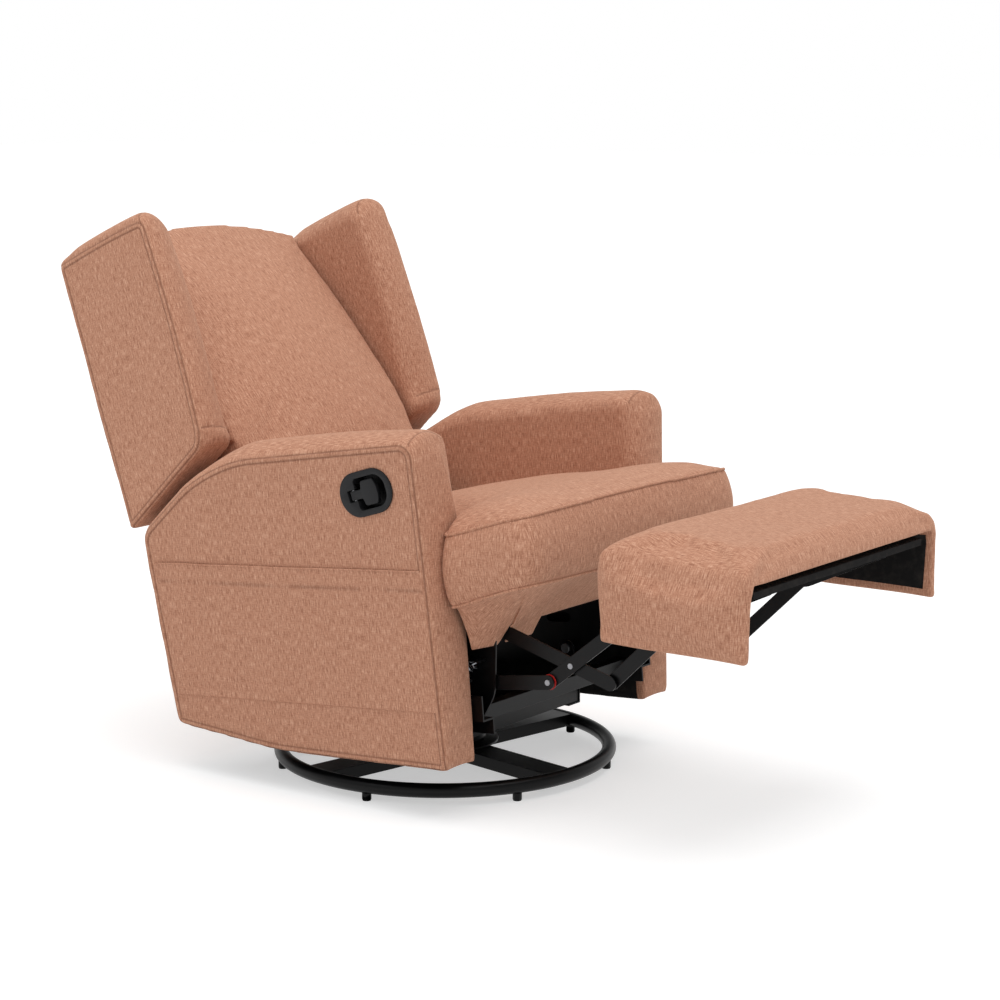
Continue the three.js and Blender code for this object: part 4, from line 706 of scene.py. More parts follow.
class Form:
    """A shape in millimetres in its group's drawing frame, grown by bmesh operators."""

    def __init__(self, mesh: bpy.types.Mesh | None = None) -> None:
        """Starts empty or from a mesh, which is used up.

        Args:
            mesh: Mesh to start from.
        """
        self.bm = bmesh.new()
        self.rim: list[Pair] = []
        if mesh is not None:
            self.bm.from_mesh(mesh)
            bpy.data.meshes.remove(mesh)

    @classmethod
    def prism(cls, corners: Sequence[Corner], low: float, high: float, run: Run, segments: int = 6) -> "Form":
        """Outline with eased corners, drawn out from low to high.

        Args:
            corners: Corners in the run's plane, each with an optional ease length.
            low: Where the solid starts along the run.
            high: Where it ends.
            run: Direction of the run.
            segments: Faces round each eased corner.

        Returns:
            The closed form, with its outline kept in rim.
        """
        form = cls()
        axis, plane = run.value
        eases: list[tuple[Vert, float]] = []
        for corner in corners:
            spot = Vector((0, 0, 0))
            spot[axis] = low
            spot[plane[0]], spot[plane[1]] = corner[0], corner[1]
            vert = form.bm.verts.new(spot)
            if len(corner) > 2:
                eases.append((vert, corner[2]))
        face = form.bm.faces.new(form.bm.verts)
        for vert, ease in eases:
            bmesh.ops.bevel(
                form.bm, geom=[vert], offset=ease, offset_type="OFFSET", segments=segments,
                profile=0.5, affect="VERTICES", material=-1,
            )
        face = form.bm.faces[:][0]
        form.rim = [(loop.vert.co[plane[0]], loop.vert.co[plane[1]]) for loop in face.loops]
        drawn = bmesh.ops.extrude_face_region(form.bm, geom=[face])
        step = Vector((0, 0, 0))
        step[axis] = high - low
        moved = [item for item in drawn["geom"] if isinstance(item, Vert)]
        bmesh.ops.translate(form.bm, verts=moved, vec=step)
        form.outward()
        return form

    @classmethod
    def sheet(cls, columns: int, rows: int, size: float = 1.0) -> "Form":
        """Flat square grid about the origin.

        Args:
            columns: Faces across.
            rows: Faces along.
            size: Length of a side.

        Returns:
            The open form.
        """
        form = cls()
        bmesh.ops.create_grid(form.bm, x_segments=columns, y_segments=rows, size=size / 2)
        return form

    @classmethod
    def cylinder(cls, sides: int, low: float, high: float, depth: float, place: Matrix) -> "Form":
        """Capped cylinder or cone.

        Args:
            sides: Faces round it.
            low: Radius at its lower end.
            high: Radius at its upper end.
            depth: Length along its axis.
            place: Matrix from its middle to the drawing frame.

        Returns:
            The closed form.
        """
        form = cls()
        bmesh.ops.create_cone(
            form.bm, cap_ends=True, segments=sides, radius1=low, radius2=high, depth=depth, matrix=place
        )
        return form

    def normals(self) -> dict[int, Vector]:
        """Outward direction at each vertex, by its number."""
        self.bm.normal_update()
        return {vert.index: vert.normal.copy() for vert in self.bm.verts}

    def seam_layer(self) -> bmesh.types.BMLayerItem:
        """Vertex layer of the seam mark for painted shade, added where it is missing."""
        layers = self.bm.verts.layers.float
        return layers.get(SEAM_MARK) or layers.new(SEAM_MARK)

    def facing(self, axis: int) -> "Form":
        """Turns an open sheet so that it faces down an axis.

        Args:
            axis: Number of the axis.

        Returns:
            The form itself.
        """
        self.bm.normal_update()
        if sum(face.normal[axis] for face in self.bm.faces) > 0:
            bmesh.ops.reverse_faces(self.bm, faces=self.bm.faces)
        return self

    def relaxed(self, verts: Sequence[Vert], times: int) -> "Form":
        """Smooths chosen vertices a number of times.

        Args:
            verts: The vertices.
            times: Number of passes.

        Returns:
            The form itself.
        """
        for _ in range(times):
            bmesh.ops.smooth_vert(
                self.bm, verts=verts, factor=0.5, use_axis_x=True, use_axis_y=True, use_axis_z=True
            )
        return self

    def ruffled(self, rise: Callable[[Vert], float]) -> "Form":
        """Moves each vertex along its normal by what a rule gives.

        Args:
            rise: Rule for one vertex.

        Returns:
            The form itself.
        """
        self.bm.normal_update()
        for vert in self.bm.verts:
            vert.co = vert.co + vert.normal * rise(vert)
        return self

    def outward(self) -> "Form":
        """Points every face outwards."""
        bmesh.ops.recalc_face_normals(self.bm, faces=self.bm.faces)
        return self

    def soften_edges(self, reach: float, segments: int = 3, least: float = 40.0) -> "Form":
        """Bevels the edges that turn by more than an angle.

        Args:
            reach: Width of the bevel on each side.
            segments: Faces round the bevel.
            least: Smallest turn in degrees that is bevelled.

        Returns:
            The form itself.
        """
        edges = [
            edge for edge in self.bm.edges
            if len(edge.link_faces) == 2 and edge.calc_face_angle(0.0) > math.radians(least)
        ]
        self._bevelled(edges, reach, segments)
        return self.outward()

    def round_top(self, level: float, reach: float) -> "Form":
        """Rounds a plate's sharp edges above a height.

        Args:
            level: The height.
            reach: Width of the rounding.

        Returns:
            The form itself.
        """
        edges = [
            edge for edge in self.bm.edges
            if all(vert.co.z > level for vert in edge.verts) and edge.calc_face_angle(0.0) > 0.7
        ]
        self._bevelled(edges, reach, 4)
        return self

    def _bevelled(self, edges: list[bmesh.types.BMEdge], reach: float, segments: int) -> None:
        """Bevels chosen edges in place.

        Args:
            edges: The edges.
            reach: Width on each side.
            segments: Faces round the bevel.
        """
        bmesh.ops.bevel(
            self.bm, geom=edges, offset=reach, offset_type="OFFSET", segments=segments,
            profile=0.5, affect="EDGES", clamp_overlap=True, material=-1,
        )

    def moved(self, place: PointMap) -> "Form":
        """Moves every vertex by a map from its place to its new one.

        Args:
            place: The map.

        Returns:
            The form itself.
        """
        for vert in self.bm.verts:
            vert.co = place(vert.co)
        return self

    def mirrored(self) -> "Form":
        """The same form on the other side of the chair.

        Returns:
            The twin.
        """
        twin = Form(self.mesh("twin"))
        bmesh.ops.scale(twin.bm, vec=(-1, 1, 1), verts=twin.bm.verts)
        bmesh.ops.reverse_faces(twin.bm, faces=twin.bm.faces)
        return twin

    def mesh(self, name: str) -> bpy.types.Mesh:
        """Copies the form into a new mesh.

        Args:
            name: Name of the mesh.

        Returns:
            The mesh.
        """
        made = bpy.data.meshes.new(name)
        self.bm.to_mesh(made)
        return made

    def tree(self) -> BVHTree:
        """Search tree of the form's surface."""
        return BVHTree.FromBMesh(self.bm)

    def nearest(self, spots: Iterable[Vector]) -> list[Vector]:
        """Nearest place on the surface for each point."""
        tree = self.tree()
        return [tree.find_nearest(spot)[0] for spot in spots]

    def joined(self, other: "Form") -> "Form":
        """Adds another form's faces to this one.

        Args:
            other: The other form.

        Returns:
            The form itself.
        """
        mesh = other.mesh("joined")
        self.bm.from_mesh(mesh)
        bpy.data.meshes.remove(mesh)
        return self

    def painted(self, which: Callable[[Face], int]) -> "Form":
        """Gives each face the material number that a rule picks.

        Args:
            which: The rule.

        Returns:
            The form itself.
        """
        for face in self.bm.faces:
            face.material_index = which(face)
        return self

    def sliced(self, place: Sequence[float], normal: Sequence[float]) -> "Form":
        """Cuts a clean edge loop where a plane crosses the form.

        Args:
            place: A point of the plane.
            normal: Its direction.

        Returns:
            The form itself.
        """
        bmesh.ops.bisect_plane(
            self.bm, geom=[*self.bm.verts, *self.bm.edges, *self.bm.faces],
            plane_co=Vector(place), plane_no=Vector(normal), dist=0.01,
        )
        return self


@dataclass(frozen=True)
class Bench:
    """Applies modifiers and simulations to a form and hands back the result."""

    quality: int = 5
    mass: float = 0.3
    stretch: float = 15.0
    shear: float = 5.0
    bend: float = 0.5
    frames: int = 20
    passes: int = 3

    @staticmethod
    def _result(work: bpy.types.Object) -> Form:
        """Takes the modified mesh as a form and clears the bench.

        Args:
            work: The object on the bench.

        Returns:
            The form.
        """
        made = baked(work)
        cleared(work)
        return Form(made)

    def remeshed(self, form: Form, voxel: float) -> Form:
        """Even quad skin of a closed form.

        Args:
            form: The closed form.
            voxel: Voxel size in millimetres.

        Returns:
            The new form, with the old one's outline.
        """
        work = linked("skin", form.mesh("skin"))
        remesh = work.modifiers.new("skin", "REMESH")
        remesh.mode = "VOXEL"
        remesh.voxel_size = voxel
        remesh.adaptivity = 0.0
        skin = self._result(work)
        skin.rim = form.rim
        return skin

    def subdivided(self, form: Form) -> Form:
        """Copy of a form with each face smoothly divided into four, and the same outline.

        Args:
            form: The even skin.

        Returns:
            The finer form.
        """
        work = linked("finer", form.mesh("finer"))
        finer = work.modifiers.new("finer", "SUBSURF")
        finer.levels = 1
        finer.render_levels = 1
        skin = self._result(work)
        skin.rim = form.rim
        return skin

    def combined(self, operation: str, form: Form, *tools: Form) -> Form:
        """Form with other shapes cut away from it or fused with it.

        Args:
            operation: DIFFERENCE or UNION.
            form: The form that is worked on.
            tools: The other shapes.

        Returns:
            The new form.
        """
        work = linked("blank", form.mesh("blank"))
        cutters = [linked("tool", tool.mesh("tool")) for tool in tools]
        for cutter in cutters:
            cut = work.modifiers.new("cut", "BOOLEAN")
            cut.operation = operation
            cut.solver = "EXACT"
            cut.object = cutter
        made = self._result(work)
        for cutter in cutters:
            cleared(cutter)
        return made

    def inflated(
        self, form: Form, held: Callable[[Vert], float], cap: float, pressure: float = 4.0
    ) -> Form:
        """Swells a padded form with cloth under pressure, keeping chosen vertices in place.

        Args:
            form: Even skin in millimetres.
            held: Hold of each vertex, from 0 for free to 1 for sewn in place.
            cap: Farthest that a vertex may move, in millimetres.
            pressure: Air pressure inside the cover.

        Returns:
            The same form with its vertices moved.
        """
        mesh = form.mesh("cover")
        mesh.transform(Matrix.Scale(MM, 4))
        work = linked("cover", mesh)
        group = work.vertex_groups.new(name="sewn")
        for vert in form.bm.verts:
            hold = held(vert)
            if hold > 0:
                group.add([vert.index], hold, "REPLACE")
        settings = work.modifiers.new("cover", "CLOTH").settings
        settings.quality = self.quality
        settings.mass = self.mass
        settings.tension_stiffness = self.stretch
        settings.compression_stiffness = self.stretch
        settings.shear_stiffness = self.shear
        settings.bending_stiffness = self.bend
        settings.use_pressure = True
        settings.uniform_pressure_force = pressure
        settings.vertex_group_mass = "sewn"
        settings.effector_weights.gravity = 0.0
        scene = bpy.context.scene
        for number in range(1, self.frames + 1):
            scene.frame_set(number)
        graph = bpy.context.evaluated_depsgraph_get()
        puffed = work.evaluated_get(graph).data
        farthest = 0.0
        for vert, new in zip(form.bm.verts, puffed.vertices):
            step = Vector(new.co) / MM - vert.co
            farthest = max(farthest, step.length)
            if step.length > cap:
                step = step * (cap / step.length)
            vert.co = vert.co + step
        form.relaxed([vert for vert in form.bm.verts if held(vert) < 0.5], self.passes)
        log.info("cover swelled by up to %.1f mm, capped at %.1f mm", farthest, cap)
        cleared(work)
        scene.frame_set(1)
        return form


BENCH = Bench()


@dataclass
class Sewing:
    """Seams and welts laid on a cover."""

    groove: float = 1.1
    spread: float = 4.5
    line_depth: float = 0.9
    line_reach: float = 2.6
    line_shade: Pair = (0.3, 2.4)
    lap_edge: Pair = (-1.2, 0.6)
    grooves: list[list[Vector]] = field(default_factory=list)

    @staticmethod
    def near(spots: Sequence[Vector]) -> KDTree:
        """Search tree of points.

        Args:
            spots: The points.

        Returns:
            The tree.
        """
        tree = KDTree(len(spots))
        for index, spot in enumerate(spots):
            tree.insert(spot, index)
        tree.balance()
        return tree

    @staticmethod
    def dense(path: Sequence[Vector], closed: bool, step: float = 3.0) -> list[Vector]:
        """Fills a path with points no farther apart than a step.

        Args:
            path: Points along the seam.
            closed: Whether the last point joins the first.
            step: Largest gap in millimetres.

        Returns:
            The denser path.
        """
        spots: list[Vector] = []
        pairs = list(zip(path, path[1:]))
        if closed:
            pairs.append((path[-1], path[0]))
        for start, end in pairs:
            count = max(1, math.ceil((end - start).length / step))
            spots += [start.lerp(end, index / count) for index in range(count)]
        if not closed:
            spots.append(path[-1])
        return spots

    def seam(self, path: Sequence[Vector], closed: bool = False) -> None:
        """Adds a stitched line that draws the cloth in and paints shade along it."""
        self.grooves.append(self.dense(path, closed))

    def strip(
        self, form: Form, path: Sequence[Vector], width: float, proud: float = 1.0, closed: bool = True
    ) -> None:
        """Raises a lapped strip along a line of a cover, with a stitched line on each side.

        Args:
            form: The fine cover.
            path: Middle of the strip, near the cover.
            width: Width of the strip, or 0 for one plain stitched line.
            proud: How far it stands up.
            closed: Whether the line is a ring.
        """
        near = self.near(form.nearest(self.dense(path, closed, 2.0)))
        reach = max(1.1 * width, 6.0)
        close = [edge for edge in form.bm.edges if all(near.find(vert.co)[2] < reach for vert in edge.verts)]
        bmesh.ops.subdivide_edges(form.bm, edges=close, cuts=1, use_grid_fill=True)
        layer = form.seam_layer()
        form.bm.normal_update()
        half = width / 2
        for vert in form.bm.verts:
            _, _, away = near.find(vert.co)
            edge = abs(away - half)
            if away < 2 * half + self.spread:
                # Seam mark for painted shade beside each stitched line of the strip.
                vert[layer] = max(vert[layer], 1 - smooth(edge, *self.line_shade))
                rise = proud * (1 - smooth(away, half + self.lap_edge[0], half + self.lap_edge[1]))
                drawn = self.line_depth * (1 - smooth(edge, 0, self.line_reach))
                vert.co = vert.co + vert.normal * (rise - drawn)

    def pressed(self, form: Form) -> Form:
        """Presses the stitched lines into a fine cover and marks them for painted shade in the shader.

        Args:
            form: The cover.

        Returns:
            The same form.
        """
        layer = form.seam_layer()
        near = self.near([spot for path in self.grooves for spot in path])
        form.bm.normal_update()
        reach = self.spread
        for vert in form.bm.verts:
            _, _, away = near.find(vert.co)
            if away < 2 * reach:
                # Seam mark for painted shade along the stitched lines.
                vert[layer] = max(vert[layer], 1 - smooth(away, 0.15 * reach, 0.8 * reach))
                vert.co = vert.co - vert.normal * (self.groove * (1 - smooth(away, 0, 2 * reach)))
        return form

    @staticmethod
    def welt(
        path: Sequence[Vector], radius: float, closed: bool = False,
        onto: BVHTree | None = None, sink: float = 0.5,
    ) -> Form:
        """Round piping along a path, optionally laid on a surface.

        Args:
            path: Points along the piping.
            radius: Radius of the piping.
            closed: Whether it is a ring.
            onto: Surface that the path is drawn to.
            sink: Share of the radius by which it sinks into that surface.

        Returns:
            The piping as a form.
        """
        spots = Sewing.dense(path, closed, 4.0)
        if onto is not None:
            laid = []
            for spot in spots:
                place, normal, _, _ = onto.find_nearest(spot)
                laid.append(place + normal * radius * (1 - 2 * sink))
            spots = laid
        curve = bpy.data.curves.new("piping", "CURVE")
        curve.dimensions = "3D"
        curve.bevel_depth = radius
        curve.bevel_resolution = 2
        curve.use_fill_caps = not closed
        line = curve.splines.new("POLY")
        line.points.add(len(spots) - 1)
        for point, spot in zip(line.points, spots):
            point.co = (*spot, 1.0)
        line.use_cyclic_u = closed
        holder = linked("piping", curve)
        made = Form(baked(holder))
        bpy.data.objects.remove(holder)
        bpy.data.curves.remove(curve)
        return made.outward()


class Workshop:
    """Turns finished forms into pieces of the chair."""

    def __init__(self) -> None:
        """Starts with no CAD nodes replaced."""
        self.replaced: list[str] = []

    @staticmethod
    def lay_weave(bm: bmesh.types.BMesh) -> None:
        """Lays a weave map in metres on every face, with the warp up or along the chair.

        Args:
            bm: The piece in millimetres.
        """
        layer = bm.loops.layers.uv.get(WEAVE_MAP) or bm.loops.layers.uv.new(WEAVE_MAP)
        for face in bm.faces:
            normal = [abs(value) for value in face.normal]
            side = normal.index(max(normal))
            across, along = ((1, 2), (0, 2), (0, 1))[side]
            for loop in face.loops:
                loop[layer].uv = (loop.vert.co[across] * MM, loop.vert.co[along] * MM)

    def made(
        self, form: Form, name: str, spot: Spot, body: str, node: str,
        finishes: Sequence[Finish] = (Finish.FABRIC,), slot: str = "upholstery", crease: float = 60.0,
    ) -> bpy.types.Object:
        """Makes a scene object from a form.

        Args:
            form: The finished form in millimetres.
            name: Name of the piece.
            spot: Drawing frame of the form.
            body: Body that it moves with.
            node: CAD node that it replaces.
            finishes: Finish of each material number.
            slot: Material slot of the record; not used.
            crease: Smallest turn in degrees that stays a sharp edge.

        Returns:
            The object.
        """
        form.bm.normal_update()
        self.lay_weave(form.bm)
        for face in form.bm.faces:
            face.smooth = True
        for edge in form.bm.edges:
            edge.smooth = edge.calc_face_angle(0.0) < math.radians(crease)
        mesh = form.mesh(name)
        mesh.transform(STANCE.matrix(spot))
        for finish in finishes:
            mesh.materials.append(SHELF[finish])
        piece = linked(name, mesh)
        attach(piece, body)
        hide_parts(node)
        self.replaced.append(node)
        log.info("%s: %d faces on %s", name, len(mesh.polygons), body)
        form.bm.free()
        return piece


SHOP = Workshop()


def ring_path(rim: Line, x: Callable[[float], float]) -> list[Vector]:
    """Outline in the side plane as points whose width depends on their height."""
    return [Vector((x(b), a, b)) for a, b in rim]


def set_in(rim: Line, distance: float) -> list[Pair]:
    """Outline moved towards its inside by a distance.

    Args:
        rim: Outline in order.
        distance: How far it moves in.

    Returns:
        The smaller outline.
    """
    count = len(rim)
    area = sum(a[0] * b[1] - b[0] * a[1] for a, b in zip(rim, [*rim[1:], rim[0]]))
    turn = 1 if area > 0 else -1
    inner = []
    for index in range(count):
        before, here, after = rim[index - 1], rim[index], rim[(index + 1) % count]
        along = Vector((after[0] - before[0], after[1] - before[1])).normalized()
        inner.append((here[0] - along.y * distance * turn, here[1] + along.x * distance * turn))
    return inner


# Sub-assemblies


@dataclass
class Arms:
    """Padded arms with a crowned band, a lapped seam round each panel and a rounded front."""

    inner: float = 252.0
    voxel: float = 6.5
    edge: float = 4.5
    crown: float = 24.0
    nose_crown: float = 17.0
    rear_crown: float = 15.0
    front_crown: float = 5.5
    under_crown: float = 3.0
    band_foot: Pair = (105.0, 150.0)
    nose_run: Pair = (-249.0, -60.0)
    rear_run: Pair = (110.0, 230.0)
    front_turn: Pair = (0.5, 0.95)
    puffs: tuple[Ripple, ...] = ((0.9, 90.0, 3.1), (0.35, 28.0, 7.7))
    plain: float = 6.0
    lining_in: float = 5.0
    lap: float = 8.2
    lap_set: float = 7.5
    inner_set: float = 2.0
    inner_seam: float = -150.0
    cross_back: Trio = (3.0, 8.0, 0.07)
    cross_ends: Pair = (-240.0, 600.0)
    lean_in: float = 46.0
    lean_least: float = 0.2
    lean_front: Pair = (234.0, 249.0)
    lean_from: float = 415.0
    lean_rise: float = 200.0
    lean_power: float = 1.7
    lining_top: float = 318.0
    lining_front: float = -228.0
    under_top: float = 130.0
    under_half: float = 345.0
    cup_half: float = 34.0
    cup_run: float = 18.0
    cup_reach: float = 12.0
    cup_depth: float = 31.0
    outline: tuple[Corner, ...] = (
        (-243.0, 69.0, 7.0),
        (121.0, 79.0, 40.0),
        (347.0, 114.0, 10.0),
        (371.0, 453.0, 20.0),
        (196.0, 581.0, 95.0),
        (-249.0, 611.0, 30.0),
    )

    def arm_inner(self, y: float, z: float) -> float:
        """Half of the room between the arms: the inner face's upper front corner leans out.

        Args:
            y: Depth.
            z: Height.

        Returns:
            The distance from the middle.
        """
        front = self.lean_least + (1 - self.lean_least) * smooth(-y, *self.lean_front)
        rise = clamped((z - self.lean_from) / self.lean_rise)
        return self.inner + self.lean_in * front * rise**self.lean_power

    def crowned(self, place: Vector, normal: Vector) -> float:
        """Crown of the band at a place along it, lowest on the front.

        Args:
            place: The place.
            normal: Outward direction there.

        Returns:
            The crown.
        """
        raised = self.nose_crown + (self.crown - self.nose_crown) * smooth(place.y, *self.nose_run)
        raised += (self.rear_crown - raised) * smooth(place.y, *self.rear_run)
        raised += (self.front_crown - raised) * smooth(-normal.y, *self.front_turn)
        return raised

    def shaped(self) -> Form:
        """Even skin of the left arm, flared outwards to the top and crowned along its band.

        Returns:
            The left arm.
        """
        width = STANCE.arm_head[0] - self.inner
        blank = Form.prism(self.outline, 0, width, Run.ACROSS, 8).soften_edges(self.edge, 3)
        skin = BENCH.remeshed(blank, self.voxel)
        normals = skin.normals()
        for vert in skin.bm.verts:
            side, z = vert.co.x / width, vert.co.z
            normal = normals[vert.index]
            flat = Vector((0, normal.y, normal.z))
            top = smooth(z, *self.band_foot)
            vert.co = vert.co + flat * (self.crowned(vert.co, normal) * hump(side) * flat.length * top)
            vert.co.z += self.under_crown * hump(side) * (1 - top) * flat.length
            inner = self.arm_inner(vert.co.y, z)
            vert.co.x = inner + side * (STANCE.arm_outer(z) - inner)
        fine = BENCH.subdivided(skin)
        bound = self.inner + self.plain
        return fine.ruffled(lambda vert: uneven(vert.co, self.puffs) if vert.co.x > bound else 0.0)

    def sewn(self, fine: Form) -> Form:
        """Adds the lapped seam round the outer panel, the band's cross seam and the inner seam.

        Args:
            fine: The left arm.

        Returns:
            The same form.
        """
        sewing = Sewing(groove=0.8, spread=3.2)
        sewing.strip(fine, ring_path(set_in(fine.rim, self.lap_set), STANCE.arm_outer), self.lap)
        inner_rim = set_in(fine.rim, self.inner_set)
        sewing.seam(ring_path(inner_rim, lambda z: self.arm_inner(self.inner_seam, z)), True)
        front, high, _ = self.outline[-1]
        start = self.arm_inner(self.cross_ends[0], high)
        reach = STANCE.arm_outer(self.cross_ends[1]) - start
        least, bow, fall = self.cross_back
        cross = []
        for side in shares(24):
            back = least + bow * math.sqrt(hump(side))
            level = high - back * fall + self.nose_crown * hump(side)
            cross.append(Vector((start + side * reach, front + back, level)))
        sewing.strip(fine, cross, 0.0, 0.0, False)
        return sewing.pressed(fine)

    def lined(self, form: Form) -> Form:
        """Gives the underside and the lower inner face their black lining.

        Args:
            form: One arm.

        Returns:
            The same form.
        """
        form.sliced((0, 0, self.lining_top), (0, 0, 1))
        form.sliced((0, self.lining_front, 0), (0, 1, 0))
        form.bm.normal_update()

        def lining(face: Face) -> int:
            """Lining below the seat on the inner face, and on the underside.

            Args:
                face: A face of the arm.

            Returns:
                Its material number.
            """
            centre = face.calc_center_median()
            within = centre.z < self.lining_top and centre.y > self.lining_front
            inside = abs(centre.x) < self.inner + self.lining_in and abs(face.normal.x) > 0.6
            under = face.normal.z < -0.75 and centre.z < self.under_top and abs(centre.x) < self.under_half
            return 1 if (within and inside) or (under and centre.y > self.lining_front) else 0

        return form.painted(lining)

    def cupped(self, form: Form) -> Form:
        """Opens a closed pocket in the right arm where the lever's cup sits.

        Args:
            form: The right arm.

        Returns:
            The same form.
        """
        frame_matrix = STANCE.matrix(Spot.CHAIR).inverted() @ STANCE.matrix(Spot.LEVER)
        back = frame_matrix.inverted()
        doomed = []
        for face in form.bm.faces:
            place = back @ face.calc_center_median()
            over = max(0.0, abs(place.x) - self.cup_run)
            if abs(place.z) < self.cup_reach and math.hypot(over, place.y) < self.cup_half:
                doomed.append(face)
        bmesh.ops.delete(form.bm, geom=doomed, context="FACES")
        border = [edge for edge in form.bm.edges if len(edge.link_faces) == 1]
        drawn = bmesh.ops.extrude_edge_only(form.bm, edges=border)
        fresh = [item for item in drawn["geom"] if isinstance(item, Vert)]
        for vert in fresh:
            place = back @ vert.co
            place.z -= self.cup_depth
            vert.co = frame_matrix @ place
        rim = [item for item in drawn["geom"] if isinstance(item, bmesh.types.BMEdge)]
        bmesh.ops.holes_fill(form.bm, edges=rim, sides=0)
        return form.outward()

    def build(self) -> None:
        """Makes both arms."""
        left = self.sewn(self.shaped())
        right = self.cupped(left.mirrored())
        for form, side in ((left, "left"), (right, "right")):
            piece = SHOP.made(
                self.lined(form), f"arm_cover_{side}", Spot.CHAIR, "chair", f"arm_{side}",
                (Finish.FABRIC, Finish.LINING),
            )


@dataclass
class SidePocket:
    """Flat pocket sewn to the right arm, with a hemmed mouth."""

    low: float = 169.0
    high: float = 402.0
    hem: float = 33.0
    front: float = -240.0
    rear: tuple[Pair, ...] = ((114.0, 330.0), (453.0, 349.0))
    proud: float = 1.6
    slack: float = 3.0
    sheet: float = 1.5
    sewn: float = 0.05
    mouth_wave: float = 1.5
    ripple: Ripple = (0.8, 70.0, 5.0)
    hem_points: tuple[float, ...] = (-234.0, 0.0, 338.0)
    mouth_end: int = 345
    piping: float = 1.5

    def laid(self, point: Vector) -> Vector:
        """Lays the flat cut on the arm, a little slack towards its mouth.

        Args:
            point: Place on the cut.

        Returns:
            Place on the arm.
        """
        along, up = point.x + 0.5, point.y + 0.5
        z = self.low + (self.high - self.low) * up
        y = self.front + (ladder(self.rear, z) - self.front) * along
        wave = drifted(Vector((along * 6, 0, 0)) * 60, 60, 2.0)
        z += self.mouth_wave * wave * up * up * hump(along, 8)
        edge = smooth(along, 0, self.sewn) * smooth(1 - along, 0, self.sewn)
        out = self.proud + self.slack * edge * up * up * 0.6
        out += uneven(Vector((0, y, z)), [self.ripple]) * edge
        return Vector((-(STANCE.arm_outer(z) + out), y, z))

    def build(self) -> None:
        """Makes the pocket as a thin closed sheet with a folded mouth."""
        form = Form.sheet(96, 44).moved(self.laid).facing(0)
        bmesh.ops.solidify(form.bm, geom=form.bm.faces[:], thickness=self.sheet)
        form.outward()
        level = self.high - self.hem
        out = STANCE.arm_outer(level) + self.proud + self.slack * 0.5
        hem = [Vector((-out, y, level)) for y in self.hem_points]
        out = STANCE.arm_outer(self.high) + 3
        along = range(int(self.front) + 3, self.mouth_end, 6)
        mouth = form.nearest(Vector((-out, y, self.high)) for y in along)
        sewing = Sewing(groove=0.7, spread=2.6)
        sewing.seam(form.nearest(Sewing.dense(hem, False)))
        sewing.pressed(form).joined(Sewing.welt(mouth, self.piping))
        piece = SHOP.made(form, "side_pocket", Spot.CHAIR, "chair", "arm_pocket_right")


